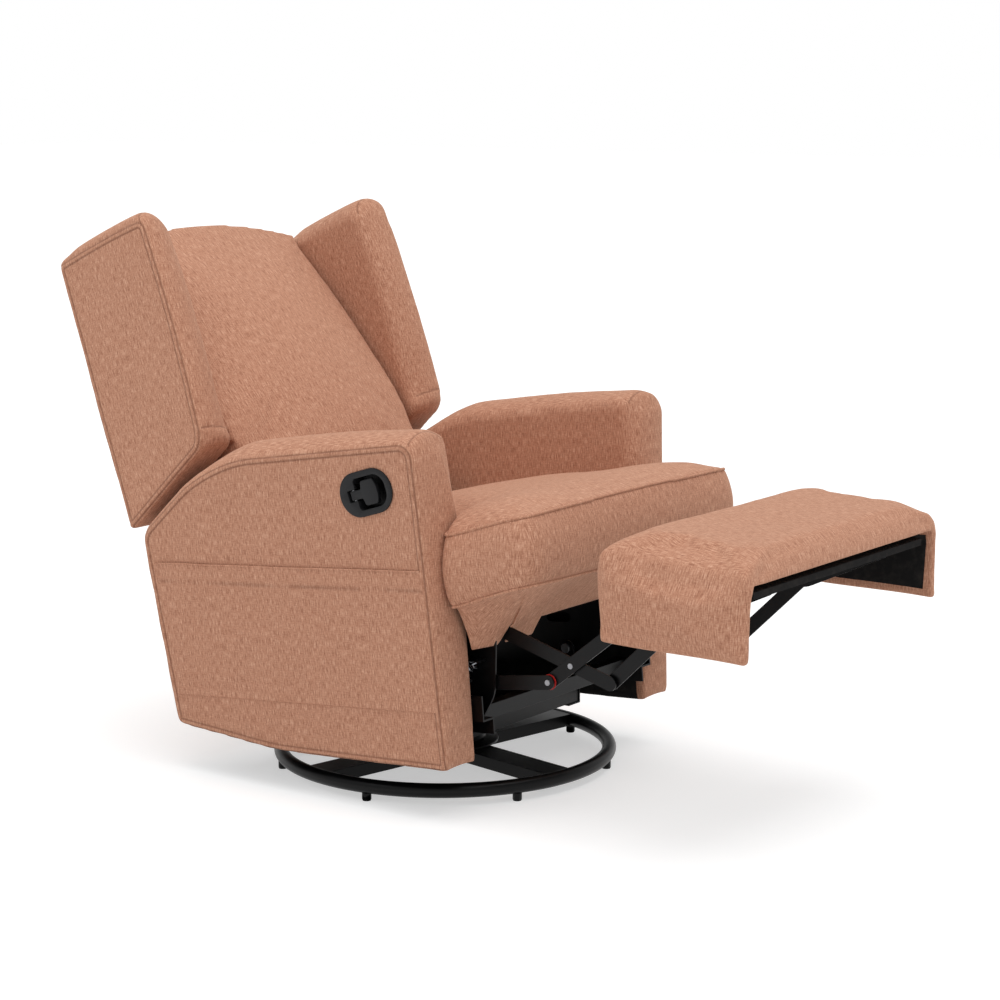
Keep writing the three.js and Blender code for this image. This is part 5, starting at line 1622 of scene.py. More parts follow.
@dataclass
class Wings:
    """Padded wings with a crowned band that falls inwards."""

    inner: float = 254.0
    outer_low: float = 341.0
    outer_high: float = 330.0
    voxel: float = 6.0
    edge: float = 4.5
    lap: float = 8.0
    lap_set: float = 7.2
    high: float = 500.0
    turn_in: float = 17.0
    turn_from: Pair = (150.0, 200.0)
    turn_up: Pair = (90.0, 140.0)
    droop: float = 12.0
    droop_run: Pair = (380.0, 490.0)
    ridge: float = 0.92
    crown: float = 20.0
    front_crown: float = 11.0
    puffs: tuple[Ripple, ...] = ((0.9, 80.0, 11.3), (0.3, 26.0, 4.2))
    plain: float = 5.0
    cross: Pair = (-213.0, 494.0)
    cross_bow: Pair = (9.0, 36.0)
    low_seam: Pair = (-240.0, 128.0)
    outline: tuple[Corner, ...] = (
        (1.0, 0.0, 9.0),
        (213.0, 96.0, 14.0),
        (223.0, 121.0, 10.0),
        (232.0, 304.0, 120.0),
        (219.0, 503.0, 17.0),
        (132.0, 502.0, 60.0),
        (-5.0, 489.0, 10.0),
    )

    def outer(self, v: float) -> float:
        """Half-width over the wings at a height up the back."""
        return self.outer_low + (self.outer_high - self.outer_low) * clamped(v / self.high)

    def shaped(self) -> Form:
        """Even skin of the left wing, with its band raised at the top and turned in at the front.

        Returns:
            The left wing.
        """
        width = self.outer_low - self.inner
        corners = [(-u, v, *rest) for u, v, *rest in self.outline]
        blank = Form.prism(corners, 0, width, Run.ACROSS, 8).soften_edges(self.edge, 3)
        skin = BENCH.remeshed(blank, self.voxel)
        normals = skin.normals()
        for vert in skin.bm.verts:
            side = clamped(vert.co.x / width)
            normal = normals[vert.index]
            u, v = -vert.co.y, vert.co.z
            nearby = smooth(u, *self.turn_from) * smooth(v, *self.turn_up)
            vert.co.y += (1 - side) * self.turn_in * nearby
            vert.co.z -= (1 - side) ** 2 * self.droop * smooth(v, *self.droop_run)
            up = self.crown * hump(side * self.ridge) * max(0.0, normal.z)
            vert.co.z += up * (0.5 + 0.5 * smooth(u, -5, 50))
            vert.co.y -= self.front_crown * hump(side) * max(0.0, -normal.y)
            vert.co.x = self.inner + side * (self.outer(v) - self.inner)
        fine = BENCH.subdivided(skin)
        bound = self.inner + self.plain
        return fine.ruffled(lambda vert: uneven(vert.co, self.puffs) if vert.co.x > bound else 0.0)

    def sewn(self, fine: Form) -> Form:
        """Adds the lapped seam round the outer panel and the seam across the top of the front.

        Args:
            fine: The left wing.

        Returns:
            The same form.
        """
        sewing = Sewing(groove=0.8, spread=3.2)
        sewing.strip(fine, ring_path(set_in(fine.rim, self.lap_set), self.outer), self.lap)
        cross = []
        for side in shares(24):
            over = math.sqrt(hump(side))
            y, z = (start + bow * over for start, bow in zip(self.cross, self.cross_bow))
            x = self.inner + side * (self.outer(self.high) - self.inner)
            cross.append(Vector((x, y, z)))
        sewing.strip(fine, fine.nearest(cross), 0.0, 0.0, False)
        across = range(int(self.inner) + 2, int(self.outer_low) - 2, 4)
        sewing.seam(fine.nearest(Vector((x, *self.low_seam)) for x in across))
        return sewing.pressed(fine)

    def build(self) -> None:
        """Makes both wings."""
        left = self.sewn(self.shaped())
        right = left.mirrored()
        for form, side in ((left, "left"), (right, "right")):
            piece = SHOP.made(form, f"wing_cover_{side}", Spot.BACK, "back", f"wing_{side}")


@dataclass
class SeatCushion:
    """T-shaped box cushion, welted round its top and bottom."""

    half: float = 246.0
    ear: float = 315.0
    rear: float = 106.0
    step: float = -257.0
    front: float = -417.0
    bottoms: tuple[Pair, ...] = (
        (-417.0, 372.0),
        (-261.0, 344.0),
        (-215.0, 327.0),
        (106.0, 326.0),
    )
    tops: tuple[Pair, ...] = ((-417.0, 485.0), (-261.0, 464.0), (106.0, 441.0))
    crown: float = 34.0
    bulge: float = 13.0
    droop: float = 10.0
    voxel: float = 6.0
    cap: float = 24.0
    welt: float = 2.6
    welt_rise: float = 1.0
    stitch_rise: float = 3.4
    unit: float = 110.0
    side_power: float = 9.0
    front_run: float = 70.0
    front_least: float = 0.25
    bow: float = 7.0
    bow_run: Pair = (300.0, 408.0)
    bulge_run: Pair = (250.0, 262.0)
    droop_out: Pair = (250.0, 315.0)
    droop_back: Pair = (-395.0, -262.0)
    gathers: tuple[Ripple, Ripple] = ((1.0, 11.0, 5.5), (0.6, 14.0, 8.5))
    boxing: float = 0.8
    puffs: tuple[Ripple, Ripple] = ((1.2, 95.0, 2.4), (0.3, 30.0, 1.1))
    calm: float = 0.3

    def bottom(self, y: float) -> float:
        """Height of the bottom seam at a depth."""
        return ladder(self.bottoms, y)

    def top(self, y: float) -> float:
        """Height of the top seam at a depth."""
        return ladder(self.tops, y)

    def corners(self) -> list[Corner]:
        """Plan of the cushion.

        Returns:
            Its corners in order.
        """
        right = [
            (self.half, self.rear, 18.0),
            (self.half, self.step, 8.0),
            (self.ear, self.step, 14.0),
            (self.ear, self.front, 34.0),
        ]
        left = [(-x, y, ease) for x, y, ease in reversed(right)]
        return [*right, *left]

    def dropped(self, x: float, y: float) -> float:
        """How far the cushion hangs at the rear of its two ears."""
        return self.droop * smooth(abs(x), *self.droop_out) * smooth(y, *self.droop_back)

    def bowed(self, x: float, y: float) -> float:
        """How far the front edge bows forwards at a place across it."""
        return -self.bow * (1 - (x / self.ear) ** 2) * smooth(-y, *self.bow_run)

    def build(self) -> None:
        """Makes the cushion: shaped, swelled, welted and creased."""
        blank = Form.prism(self.corners(), 0, self.unit, Run.UP, 6).soften_edges(5.0, 2)
        skin = BENCH.remeshed(blank, self.voxel)
        normals = skin.normals()
        heights = {vert.index: vert.co.z / self.unit for vert in skin.bm.verts}
        for vert in skin.bm.verts:
            x, y = vert.co.x, vert.co.y
            share = heights[vert.index]
            normal = normals[vert.index]
            limit = self.ear if y < self.step else self.half
            edge = 1 - min(1.0, abs(x) / limit) ** self.side_power
            ends = smooth(y - self.front, 0, self.front_run) * (1 - self.front_least) + self.front_least
            up = smooth(share, 0.8, 1.0)
            crown = self.crown * edge * ends * hump(smooth(self.rear - y, 0, 900), 2) ** 0.3 * up
            flat = Vector((normal.x, normal.y, 0))
            swell = self.bulge * hump(share) * flat.length * smooth(-y, *self.bulge_run)
            low, high = self.bottom(y), self.top(y)
            level = low + share * (high - low) + crown - self.dropped(x, y)
            vert.co = Vector((x, y + self.bowed(x, y), level))
            vert.co = vert.co + flat * swell

        def held(vert: Vert) -> float:
            """Sewn at the welts, the bottom and where the arms hold the sides.

            Args:
                vert: A vertex of the skin.

            Returns:
                Its hold.
            """
            level = abs(normals[vert.index].z)
            bottom = heights[vert.index] < 0.07 and level > 0.3
            welted = 0.25 < level < 0.9
            beside = vert.co.y > self.step + 12 and level < 0.5
            return 1.0 if bottom or welted or beside else 0.0

        BENCH.inflated(skin, held, self.cap)
        fine = BENCH.subdivided(skin)
        self.creased(fine)
        self.sewn(fine, blank.rim)
        piece = SHOP.made(fine, "seat_cushion_cover", Spot.CHAIR, "chair", "seat_cushion")

    def creased(self, fine: Form) -> None:
        """Gives the boxing its gathers and the top its unevenness.

        Args:
            fine: The cushion.
        """

        def rise(vert: Vert) -> float:
            """Gathers under the welts and the cushion's own unevenness, calmer between the arms.

            Args:
                vert: A vertex of the cushion.

            Returns:
                How far it stands out.
            """
            x, y, z = vert.co
            low, high = self.bottom(y), self.top(y)
            share = clamped((z - low) / (high - low))
            drawn = Vector((x, y, z * 0.25))
            gather = uneven(drawn, self.gathers[:1]) * smooth(1 - share, 0.55, 0.95)
            gather += uneven(drawn, self.gathers[1:]) * smooth(share, 0.75, 0.95)
            calm = 1.0 if y < self.step else self.calm
            boxed = gather * (1 - abs(vert.normal.z)) * self.boxing * calm
            return boxed + uneven(vert.co, self.puffs[:1]) * calm + uneven(vert.co, self.puffs[1:])

        fine.ruffled(rise)

    def sewn(self, fine: Form, rim: Line) -> None:
        """Lays the welts round the top and bottom and a stitch line above each.

        Args:
            fine: The cushion.
            rim: Its plan.
        """
        sewing = Sewing(groove=1.2, spread=4.0)
        paths = []
        for level in (self.top, self.bottom):
            path = [
                Vector((x, y + self.bowed(x, y), level(y) + self.welt_rise - self.dropped(x, y)))
                for x, y in rim
            ]
            path = fine.nearest(Sewing.dense(path, True, 6.0))
            paths.append(path)
            sewing.seam([spot + Vector((0, 0, self.stitch_rise)) for spot in path], True)
        sewing.pressed(fine)
        surface = fine.tree()
        for path in paths:
            fine.joined(Sewing.welt(path, self.welt, True, surface, 0.25))


@dataclass
class SeatApron:
    """Cloth apron sewn round the cushion's front and ears, drawn back and down to the frame."""

    half: float = 262.0
    wide: float = 305.0
    ear_rear: float = -264.0
    front: float = -402.0
    rear: float = -272.0
    end: float = -258.5
    slot_rear: float = -297.0
    tuck: float = 39.0
    corner: float = 120.0
    sheet: float = 2.4
    middle: float = 284.0
    tab: float = 259.0
    arch: float = 293.0
    top: float = 371.0
    ear_top: float = 337.0
    sag: float = 1.55
    cut: tuple[int, int] = (420, 34)
    passes: int = 8
    calm: float = 12.0
    slot_in: Pair = (188.0, 196.0)
    slot_out: Pair = (203.0, 211.0)
    tab_edge: Pair = (88.0, 116.0)
    eased: float = 0.28
    hang: float = 1.5
    folds: Ripple = (2.0, 70.0, 4.0)

    def slot(self, x: float) -> float:
        """Share of the narrow slot that leaves room for a link, across the apron."""
        return smooth(abs(x), *self.slot_in) * (1 - smooth(abs(x), *self.slot_out))

    def hem(self, x: float) -> float:
        """Height of the lower edge across the apron, arched over the linkage.

        Args:
            x: Place across.

        Returns:
            The height.
        """
        side = abs(x)
        over = self.slot(x)
        outer = smooth(side, *self.slot_out)
        tab = smooth(side, *self.tab_edge) * (1 - over - outer)
        return self.middle + (self.tab - self.middle) * (tab + outer) + (self.arch - self.middle) * over

    def seam(self, share: float) -> Vector:
        """Place on the seam under the cushion, from one ear round the front to the other.

        Args:
            share: Way along the seam, from -1 to 1.

        Returns:
            The place in the chair's frame.
        """
        side = self.ear_rear - self.front
        turn = self.wide / (self.wide + side)
        reach = min(1.0, abs(share) / turn)
        back = max(0.0, (abs(share) - turn) / (1 - turn))
        near = abs(abs(share) - turn) * (self.wide + side)
        cut = self.eased * max(0.0, self.corner - near) ** 2 / self.corner
        x = math.copysign(self.wide * reach - cut, share)
        y = self.front + side * back + cut
        z = self.top + (self.ear_top - self.top) * smooth(y, self.front, self.ear_rear)
        return Vector((x, y, z))

    def foot(self, share: float) -> Vector:
        """Place on the lower edge that belongs to a place on the seam.

        Args:
            share: Way along the seam, from -1 to 1.

        Returns:
            The place.
        """
        turn = self.wide / (self.wide + self.ear_rear - self.front)
        reach = min(1.0, abs(share) / turn)
        back = max(0.0, (abs(share) - turn) / (1 - turn))
        x = math.copysign((self.half - self.tuck) * reach + self.tuck * back, share)
        y = self.rear + (self.end - self.rear) * back
        return Vector((x, y + (self.slot_rear - y) * self.slot(x), self.hem(x)))

    def laid(self, point: Vector) -> Vector:
        """Lays the flat cut from the seam back and down to its lower edge.

        Args:
            point: Place on the cut.

        Returns:
            Place under the cushion.
        """
        share, run = point.x * 2, point.y + 0.5
        start, end = self.seam(share), self.foot(share)
        spot = start.lerp(end, run)
        spot.z = start.z + (end.z - start.z) * run**self.sag
        fold = uneven(Vector((start.x, start.y, run * 30)), [self.folds])
        spot.z -= math.sin(math.pi * run) * (self.hang + fold)
        return spot

    def build(self) -> None:
        """Makes the apron with its drape and hem."""
        form = Form.sheet(*self.cut).moved(self.laid)
        level = self.arch + self.calm
        free = [vert for vert in form.bm.verts if not vert.is_boundary and vert.co.z > level]
        form.relaxed(free, self.passes).facing(1)
        log.info("apron: %.4f square metres", sum(face.calc_area() for face in form.bm.faces) * MM * MM)
        piece = SHOP.made(form, "seat_apron_cloth", Spot.CHAIR, "chair", "seat_apron")
        cloth = piece.modifiers.new("cloth", "SOLIDIFY")
        cloth.thickness = self.sheet * MM
        cloth.offset = -1


@dataclass
class BackCushion:
    """Crowned inside back: thick at the loins, thin at the top, tucked under at the seat."""

    rear: float = 36.0
    low_half: float = 239.0
    half: float = 252.5
    shoulder: float = 112.0
    bottom: float = -140.0
    top: float = 498.0
    arch: float = 33.0
    edge_rear: float = 44.0
    edge_run: float = 0.402
    edge_bow: float = 13.0
    bow_from: float = 60.0
    crown: float = 30.0
    least: float = 12.0
    roll: float = 100.0
    voxel: float = 6.0
    cap: float = 22.0
    ripples: tuple[Ripple, ...] = ((1.3, 110.0, 9.1), (0.35, 34.0, 6.6))
    seam_low: float = 118.0
    seam_step: float = 6.2

    def width(self, v: float) -> float:
        """Half-width at a height up the back."""
        low = clamped((self.shoulder - v) / (self.half - self.low_half))
        return self.half + (self.low_half - self.half) * low

    def bowed(self, v: float) -> float:
        """How far the sides bow forwards at a height up the back."""
        return self.edge_bow * hump((v - self.bow_from) / (self.top - self.bow_from))

    def laid(self, point: Vector) -> Vector:
        """Maps a block from -1..1, -0.5..0.5, -0.5..0.5 onto the cushion.

        Args:
            point: Place in the block.

        Returns:
            Place in the cushion.
        """
        share = point.z + 0.5
        forward = 0.5 - point.y
        side = abs(point.x)
        inner = 1 - side**4
        top = self.top + self.arch * (1 - point.x * point.x)
        v = self.bottom + share * (top - self.bottom)
        edge = self.edge_rear + max(0.0, self.top - max(v, self.roll - self.shoulder)) * self.edge_run
        edge += self.bowed(v)
        fade = smooth(v, self.bottom + self.roll / 2, self.bottom + 2 * self.roll)
        crown = self.crown * inner * (0.25 + 0.75 * fade) * (1 - share**12)
        under = self.roll * (1 - min(1.0, (v - self.bottom) / self.roll)) ** 2
        front = max(self.rear + self.least, edge + crown - under / 2)
        drawn = self.least / 2 * (4 * (forward - 0.5) ** 2)
        x = math.copysign(side * (self.width(v) - drawn), point.x)
        return Vector((x, -(self.rear + forward * (front - self.rear)), v))

    def build(self) -> None:
        """Makes the cushion: mapped, remeshed, swelled and sewn."""
        form = Form()
        bmesh.ops.create_cube(form.bm, size=1.0)
        bmesh.ops.scale(form.bm, vec=(2, 1, 1), verts=form.bm.verts)
        bmesh.ops.subdivide_edges(form.bm, edges=form.bm.edges[:], cuts=17, use_grid_fill=True)
        form.moved(self.laid).outward()
        skin = BENCH.remeshed(form, self.voxel)
        normals = skin.normals()

        def held(vert: Vert) -> float:
            """Sewn along its sides, its rear and its tucked bottom.

            Args:
                vert: A vertex of the skin.

            Returns:
                Its hold.
            """
            normal = normals[vert.index]
            edges = normal.y > -0.25 and normal.z < 0.5
            tucked = vert.co.z < self.bottom + 0.7 * self.roll
            return 1.0 if edges or tucked or -vert.co.y < self.rear + 5 else 0.0

        BENCH.inflated(skin, held, self.cap)
        fine = BENCH.subdivided(skin)
        fine.ruffled(lambda vert: uneven(vert.co, self.ripples) * smooth(-vert.normal.y, 0.1, 0.6))
        for vert in fine.bm.verts:
            limit = self.width(vert.co.z) + 0.2
            vert.co.x = clamped(vert.co.x, -limit, limit)
        sewing = Sewing(groove=1.2, spread=4.0)
        for side in (-1, 1):
            line = []
            for step in range(60):
                v = self.seam_low + step * self.seam_step
                depth = self.edge_rear + (self.top - v) * self.edge_run + self.bowed(v)
                line.append(Vector((side * self.width(v), -depth, v)))
            sewing.seam(fine.nearest(line))
        sewing.pressed(fine)
        piece = SHOP.made(fine, "inside_back", Spot.BACK, "back", "back_cushion")


@dataclass
class BackPanels:
    """Covered outside back and the covered rear panel below it."""

    rear: float = 2.0
    thickness: float = 6.2
    half: float = 251.5
    low_half: float = 244.5
    shoulder: float = 118.0
    bottom: float = -190.0
    top: float = 470.0
    arch: float = 28.0
    panel: tuple[float, float, float, float] = (318.5, 341.5, 112.5, 251.5)
    panel_half: float = 251.0
    fade: float = 60.0
    outside_puff: tuple[float, Ripple] = (5.5, (1.2, 90.0, 3.3))
    below_puff: tuple[float, Ripple] = (4.0, (1.0, 80.0, 6.0))
    border: float = 11.0

    def outside(self) -> None:
        """Makes the outside back with a crowned top edge and topstitched border."""
        arc = [
            (self.half * math.cos(math.pi * share), self.top + self.arch * math.sin(math.pi * share))
            for share in shares(16)
        ]
        slope = self.shoulder - (self.half - self.low_half)
        corners: list[Corner] = [
            (-self.half, self.shoulder),
            (-self.low_half, slope),
            (-self.low_half, self.bottom, 10.0),
            (self.low_half, self.bottom, 10.0),
            (self.low_half, slope),
            (self.half, self.shoulder),
            *arc,
        ]
        blank = Form.prism(corners, -self.rear - self.thickness, -self.rear, Run.DEPTH, 4)
        blank.soften_edges(2.2, 2, 60)
        skin = BENCH.subdivided(BENCH.remeshed(blank, 5.0))
        puff, ripple = self.outside_puff
        for vert in skin.bm.verts:
            x, v = vert.co.x, vert.co.z
            room = smooth(self.half - abs(x), 0, self.fade)
            room *= smooth(self.top + 20 - v, 0, self.fade) * smooth(v - self.bottom, 0, self.fade)
            if vert.co.y > -self.rear - self.thickness / 2:
                vert.co.y += room * (puff + uneven(vert.co, [ripple]))
        sewing = Sewing(groove=0.8, spread=4.0)
        sewing.seam([Vector((a, -self.rear, b)) for a, b in set_in(blank.rim, self.border)], True)
        sewing.pressed(skin)
        piece = SHOP.made(skin, "outside_back_cover", Spot.BACK, "back", "outside_back")

    def below(self) -> None:
        """Makes the padded rear panel of the chair's body."""
        front, rear, low, high = self.panel
        corners = [(front, low, 6.0), (rear, low, 10.0), (rear, high, 12.0), (front, high, 8.0)]
        blank = Form.prism(corners, -self.panel_half, self.panel_half, Run.ACROSS, 4).soften_edges(4.0, 2)
        skin = BENCH.subdivided(BENCH.remeshed(blank, 6.0))
        puff, ripple = self.below_puff
        for vert in skin.bm.verts:
            room = smooth(self.panel_half - abs(vert.co.x), 0, self.fade)
            room *= hump((vert.co.z - low) / (high - low))
            if vert.co.y > (front + rear) / 2:
                vert.co.y += room * (puff + uneven(vert.co, [ripple]))
        piece = SHOP.made(skin, "rear_panel_cover", Spot.CHAIR, "chair", "rear_panel")

    def build(self) -> None:
        """Makes both panels."""
        self.outside()
        self.below()


@dataclass
class Footrest:
    """Padded footrest whose cover wraps over both sides and is stapled inside to a lining."""

    half: float = 315.0
    depth: float = 271.0
    drop: float = 142.0
    side: float = 18.0
    thickness: float = 27.0
    crown: float = 23.0
    lip: float = 12.0
    lean: float = 15.0
    rise: float = 10.0
    voxel: float = 5.0
    cap: float = 10.0
    hem: float = 15.0
    ends: Pair = (0.25, 0.7)
    pressure: float = 3.0
    thin_run: Pair = (212.0, 262.0)
    pull_out: Pair = (240.0, 300.0)
    pull_front: Pair = (200.0, 265.0)
    pull_up: Pair = (-60.0, -5.0)
    pull: Ripple = (1.2, 13.0, 2.2)
    ripples: tuple[Ripple, ...] = ((0.9, 75.0, 5.1), (0.3, 24.0, 3.6))

    def corners(self) -> list[Corner]:
        """Section across the footrest: a wide upside-down trough.

        Returns:
            Its corners in order.
        """
        inner = self.half - self.side
        return [
            (-self.half, -self.drop, 7.0),
            (-inner, -self.drop, 7.0),
            (-inner, -self.thickness, 3.0),
            (inner, -self.thickness, 3.0),
            (inner, -self.drop, 7.0),
            (self.half, -self.drop, 7.0),
            (self.half, 0.0, 14.0),
            (-self.half, 0.0, 14.0),
        ]

    def build(self) -> None:
        """Makes the cover: drawn out, swelled, hemmed and lined."""
        blank = Form.prism(self.corners(), -self.depth + 3, 4, Run.DEPTH, 5).soften_edges(6.0, 3)
        skin = BENCH.remeshed(blank, self.voxel)
        for vert in skin.bm.verts:
            u = min(1.0, abs(vert.co.x) / self.half)
            w = clamped(-2 * vert.co.y / self.depth - 1, -1.0)
            high = smooth(vert.co.z, -self.thickness, 0)
            low = smooth(-vert.co.z, self.thickness, self.drop)
            forward = smooth(-vert.co.y, 0, self.depth)
            vert.co.y -= self.lean * low * (1 - 0.8 * forward)
            ahead = 1 - (self.ends[0] if w > 0 else self.ends[1]) * w**6
            thin = smooth(-vert.co.y, *self.thin_run) * smooth(-vert.co.z, 3, self.thickness)
            if abs(vert.co.x) < self.half - self.side - 2 and vert.co.z > -self.thickness - 3:
                vert.co.z += self.lip * thin
            vert.co.z += self.rise * low * forward + self.crown * high * (1 - u**18) * ahead
        normals = skin.normals()
        inner = self.half - self.side

        def held(vert: Vert) -> float:
            """Sewn or stapled everywhere but the top, the ends and the outer sides.

            Args:
                vert: A vertex of the skin.

            Returns:
                Its hold.
            """
            under = vert.co.z < -self.drop + 20 or normals[vert.index].z < -0.4
            inside = abs(vert.co.x) < inner + 6 and vert.co.z < -self.thickness + 6
            return 1.0 if under or inside else 0.0

        def rise(vert: Vert) -> float:
            """Pull creases at the front corners and the cover's own unevenness.

            Args:
                vert: A vertex of the cover.

            Returns:
                How far it stands out.
            """
            x, y, z = vert.co
            corner = smooth(abs(x), *self.pull_out) * smooth(-y, *self.pull_front)
            corner *= smooth(z, *self.pull_up)
            pull = uneven(Vector((x, y * 0.4, z * 0.4)), [self.pull]) * corner
            return pull + uneven(vert.co, self.ripples) * smooth(vert.normal.z, -0.5, 0.1)

        BENCH.inflated(skin, held, self.cap, self.pressure)
        fine = BENCH.subdivided(skin).ruffled(rise)
        for vert in fine.bm.verts:
            vert.co.y = min(vert.co.y, 6.0)
        fine.sliced((0, 0, -self.drop + self.hem), (0, -self.rise / self.depth, 1))
        fine.sliced((0, -self.depth + self.hem + 2, 0), (0, 1, 0))
        fine.sliced((0, -self.hem, 0), (0, 1, 0))
        fine.bm.normal_update()

        def lining(face: Face) -> int:
            """Black lining on the inner faces inside the hem.

            Args:
                face: A face of the cover.

            Returns:
                Its material number.
            """
            centre = face.calc_center_median()
            within = -self.depth + self.hem + 2 < centre.y < -self.hem
            hemmed = -self.drop + self.hem + self.rise * smooth(-centre.y, 0, self.depth)
            inside = abs(centre.x) < inner + 4 and hemmed < centre.z < -self.thickness + 3
            cheek = inside and abs(face.normal.x) > 0.6
            level = abs(centre.z + self.thickness) < 9
            under = face.normal.z < -0.6 and abs(centre.x) < inner + 4 and level
            return 1 if within and (cheek or under) else 0

        fine.painted(lining)
        piece = SHOP.made(
            fine, "footrest_cushion", Spot.FOOTREST, "footrest", "footrest_cover",
            (Finish.FABRIC, Finish.LINING),
        )


@dataclass
class LeverSet:
    """Moulded bezel with its finger cup, and the T-shaped release lever."""

    length: float = 110.0
    height: float = 74.0
    flange: float = 3.5
    rim: float = 6.5
    depth: float = 30.0
    floor: float = 3.0
    recess: Trio = (-20.0, 43.0, 26.5)
    slot: Pair = (-37.0, 9.8)
    hinge: float = 29.0
    stem: float = 7.8
    paddle_top: float = 2.0
    paddle: float = 7.0
    head: tuple[float, float, float, float] = (-7.0, 19.0, 23.5, 21.0)
    shoulder: float = -10.0
    barrel: float = 6.0
    bore: float = 3.3

    @staticmethod
    def stadium(length: float, height: float) -> list[Corner]:
        """Rounded oblong about the lever's middle.

        Args:
            length: Its length.
            height: Its height.

        Returns:
            Its corners in order.
        """
        ease = height / 2 - 0.1
        half = length / 2
        return [
            (-half, -height / 2, ease),
            (half, -height / 2, ease),
            (half, height / 2, ease),
            (-half, height / 2, ease),
        ]

    def bezel(self) -> None:
        """Makes the bezel and its cup."""
        plate = Form.prism(self.stadium(self.length, self.height), 0.5, self.flange + 0.3, Run.UP, 16)
        plate.round_top(self.flange, 1.6)
        inner = self.stadium(self.length - 2 * self.rim - 1, self.height - 2 * self.rim - 1)
        cup = Form.prism(inner, -self.depth, 1.0, Run.UP, 16)
        rear, front, half = self.recess
        recess = Form.prism(
            [(rear, -half, 6.0), (front, -half, 22.0), (front, half, 22.0), (rear, half, 6.0)],
            self.floor - self.depth, 20.0, Run.UP, 10,
        )
        start, reach = self.slot
        slot = Form.prism(
            [(start, -reach, 1.5), (rear + 6, -reach), (rear + 6, reach), (start, reach, 1.5)],
            self.floor - self.depth + 0.7, 21.0, Run.UP, 4,
        )
        body = BENCH.combined("DIFFERENCE", BENCH.combined("UNION", plate, cup), recess, slot)
        body.outward().soften_edges(0.7, 2, 50)
        SHOP.made(
            body, "lever_bezel_moulding", Spot.LEVER, "chair", "lever_bezel",
            (Finish.PLASTIC,), "lever_plastic", 50,
        )

    def lever(self) -> None:
        """Makes the lever with its chamfered paddle and barrel."""
        rear, front, nose, half = self.head
        corners: list[Corner] = [
            (-self.hinge - 4, -self.stem, 1.5),
            (self.shoulder, -self.stem, 2.0),
            (rear, -half, 4.0),
            (front, -half, 3.5),
            (nose, -self.stem, 4.0),
            (nose, self.stem, 4.0),
            (front, half, 3.5),
            (rear, half, 4.0),
            (self.shoulder, self.stem, 2.0),
            (-self.hinge - 4, self.stem, 1.5),
        ]
        paddle = Form.prism(corners, self.paddle_top - self.paddle, self.paddle_top, Run.UP, 5)
        paddle.round_top(self.paddle_top - 0.1, 1.8)
        middle = Matrix.Translation((-self.hinge, 0, self.paddle_top - self.barrel))
        place = middle @ Matrix.Rotation(math.pi / 2, 4, "X")
        barrel = Form.cylinder(32, self.barrel, self.barrel, 2 * self.stem - 0.2, place)
        bore = Form.cylinder(24, self.bore, self.bore, 4 * self.stem, place)
        body = BENCH.combined("DIFFERENCE", BENCH.combined("UNION", paddle, barrel), bore)
        SHOP.made(
            body.outward(), "release_lever_moulding", Spot.LEVER, "release_lever", "release_lever",
            (Finish.PLASTIC,), "lever_plastic", 50,
        )

    def build(self) -> None:
        """Makes the bezel and the lever."""
        self.bezel()
        self.lever()


@dataclass
class RingBase:
    """Round tube ring on seven small glides."""

    radius: float = 292.0
    tube: float = 12.5
    height: float = 25.0
    sides: int = 28
    steps: int = 160
    feet: int = 7
    first_foot: float = 139.0
    foot_radius: float = 8.0
    sole: float = 7.0
    chamfer: float = 2.5
    foot_rise: float = 11.0

    def build(self) -> None:
        """Spins the tube into a ring and sets the glides under it."""
        form = Form()
        turn = Matrix.Translation((self.radius, 0, self.height)) @ Matrix.Rotation(math.pi / 2, 4, "X")
        drawn = bmesh.ops.create_circle(
            form.bm, cap_ends=False, segments=self.sides, radius=self.tube, matrix=turn
        )
        edges = list({edge for vert in drawn["verts"] for edge in vert.link_edges})
        bmesh.ops.spin(
            form.bm, geom=[*drawn["verts"], *edges], cent=(0, 0, 0), axis=(0, 0, 1),
            angle=math.tau, steps=self.steps, use_merge=True, use_duplicate=False,
        )
        bmesh.ops.remove_doubles(form.bm, verts=form.bm.verts, dist=0.01)
        form.outward()
        for index in range(self.feet):
            angle = math.radians(self.first_foot + index * 360 / self.feet)
            place = Vector((self.radius * math.cos(angle), self.radius * math.sin(angle), self.chamfer / 2))
            foot = Form.cylinder(28, self.sole, self.foot_radius, self.chamfer, Matrix.Translation(place))
            top = [face for face in foot.bm.faces if face.normal.z > 0.9]
            drawn = bmesh.ops.extrude_face_region(foot.bm, geom=top)
            verts = [item for item in drawn["geom"] if isinstance(item, Vert)]
            bmesh.ops.translate(foot.bm, verts=verts, vec=(0, 0, self.foot_rise))
            form.joined(foot.outward())
        SHOP.made(
            form, "base_ring_tube", Spot.FLOOR, "base", "base_ring", (Finish.BLACK_STEEL,), "black_steel", 40
        )


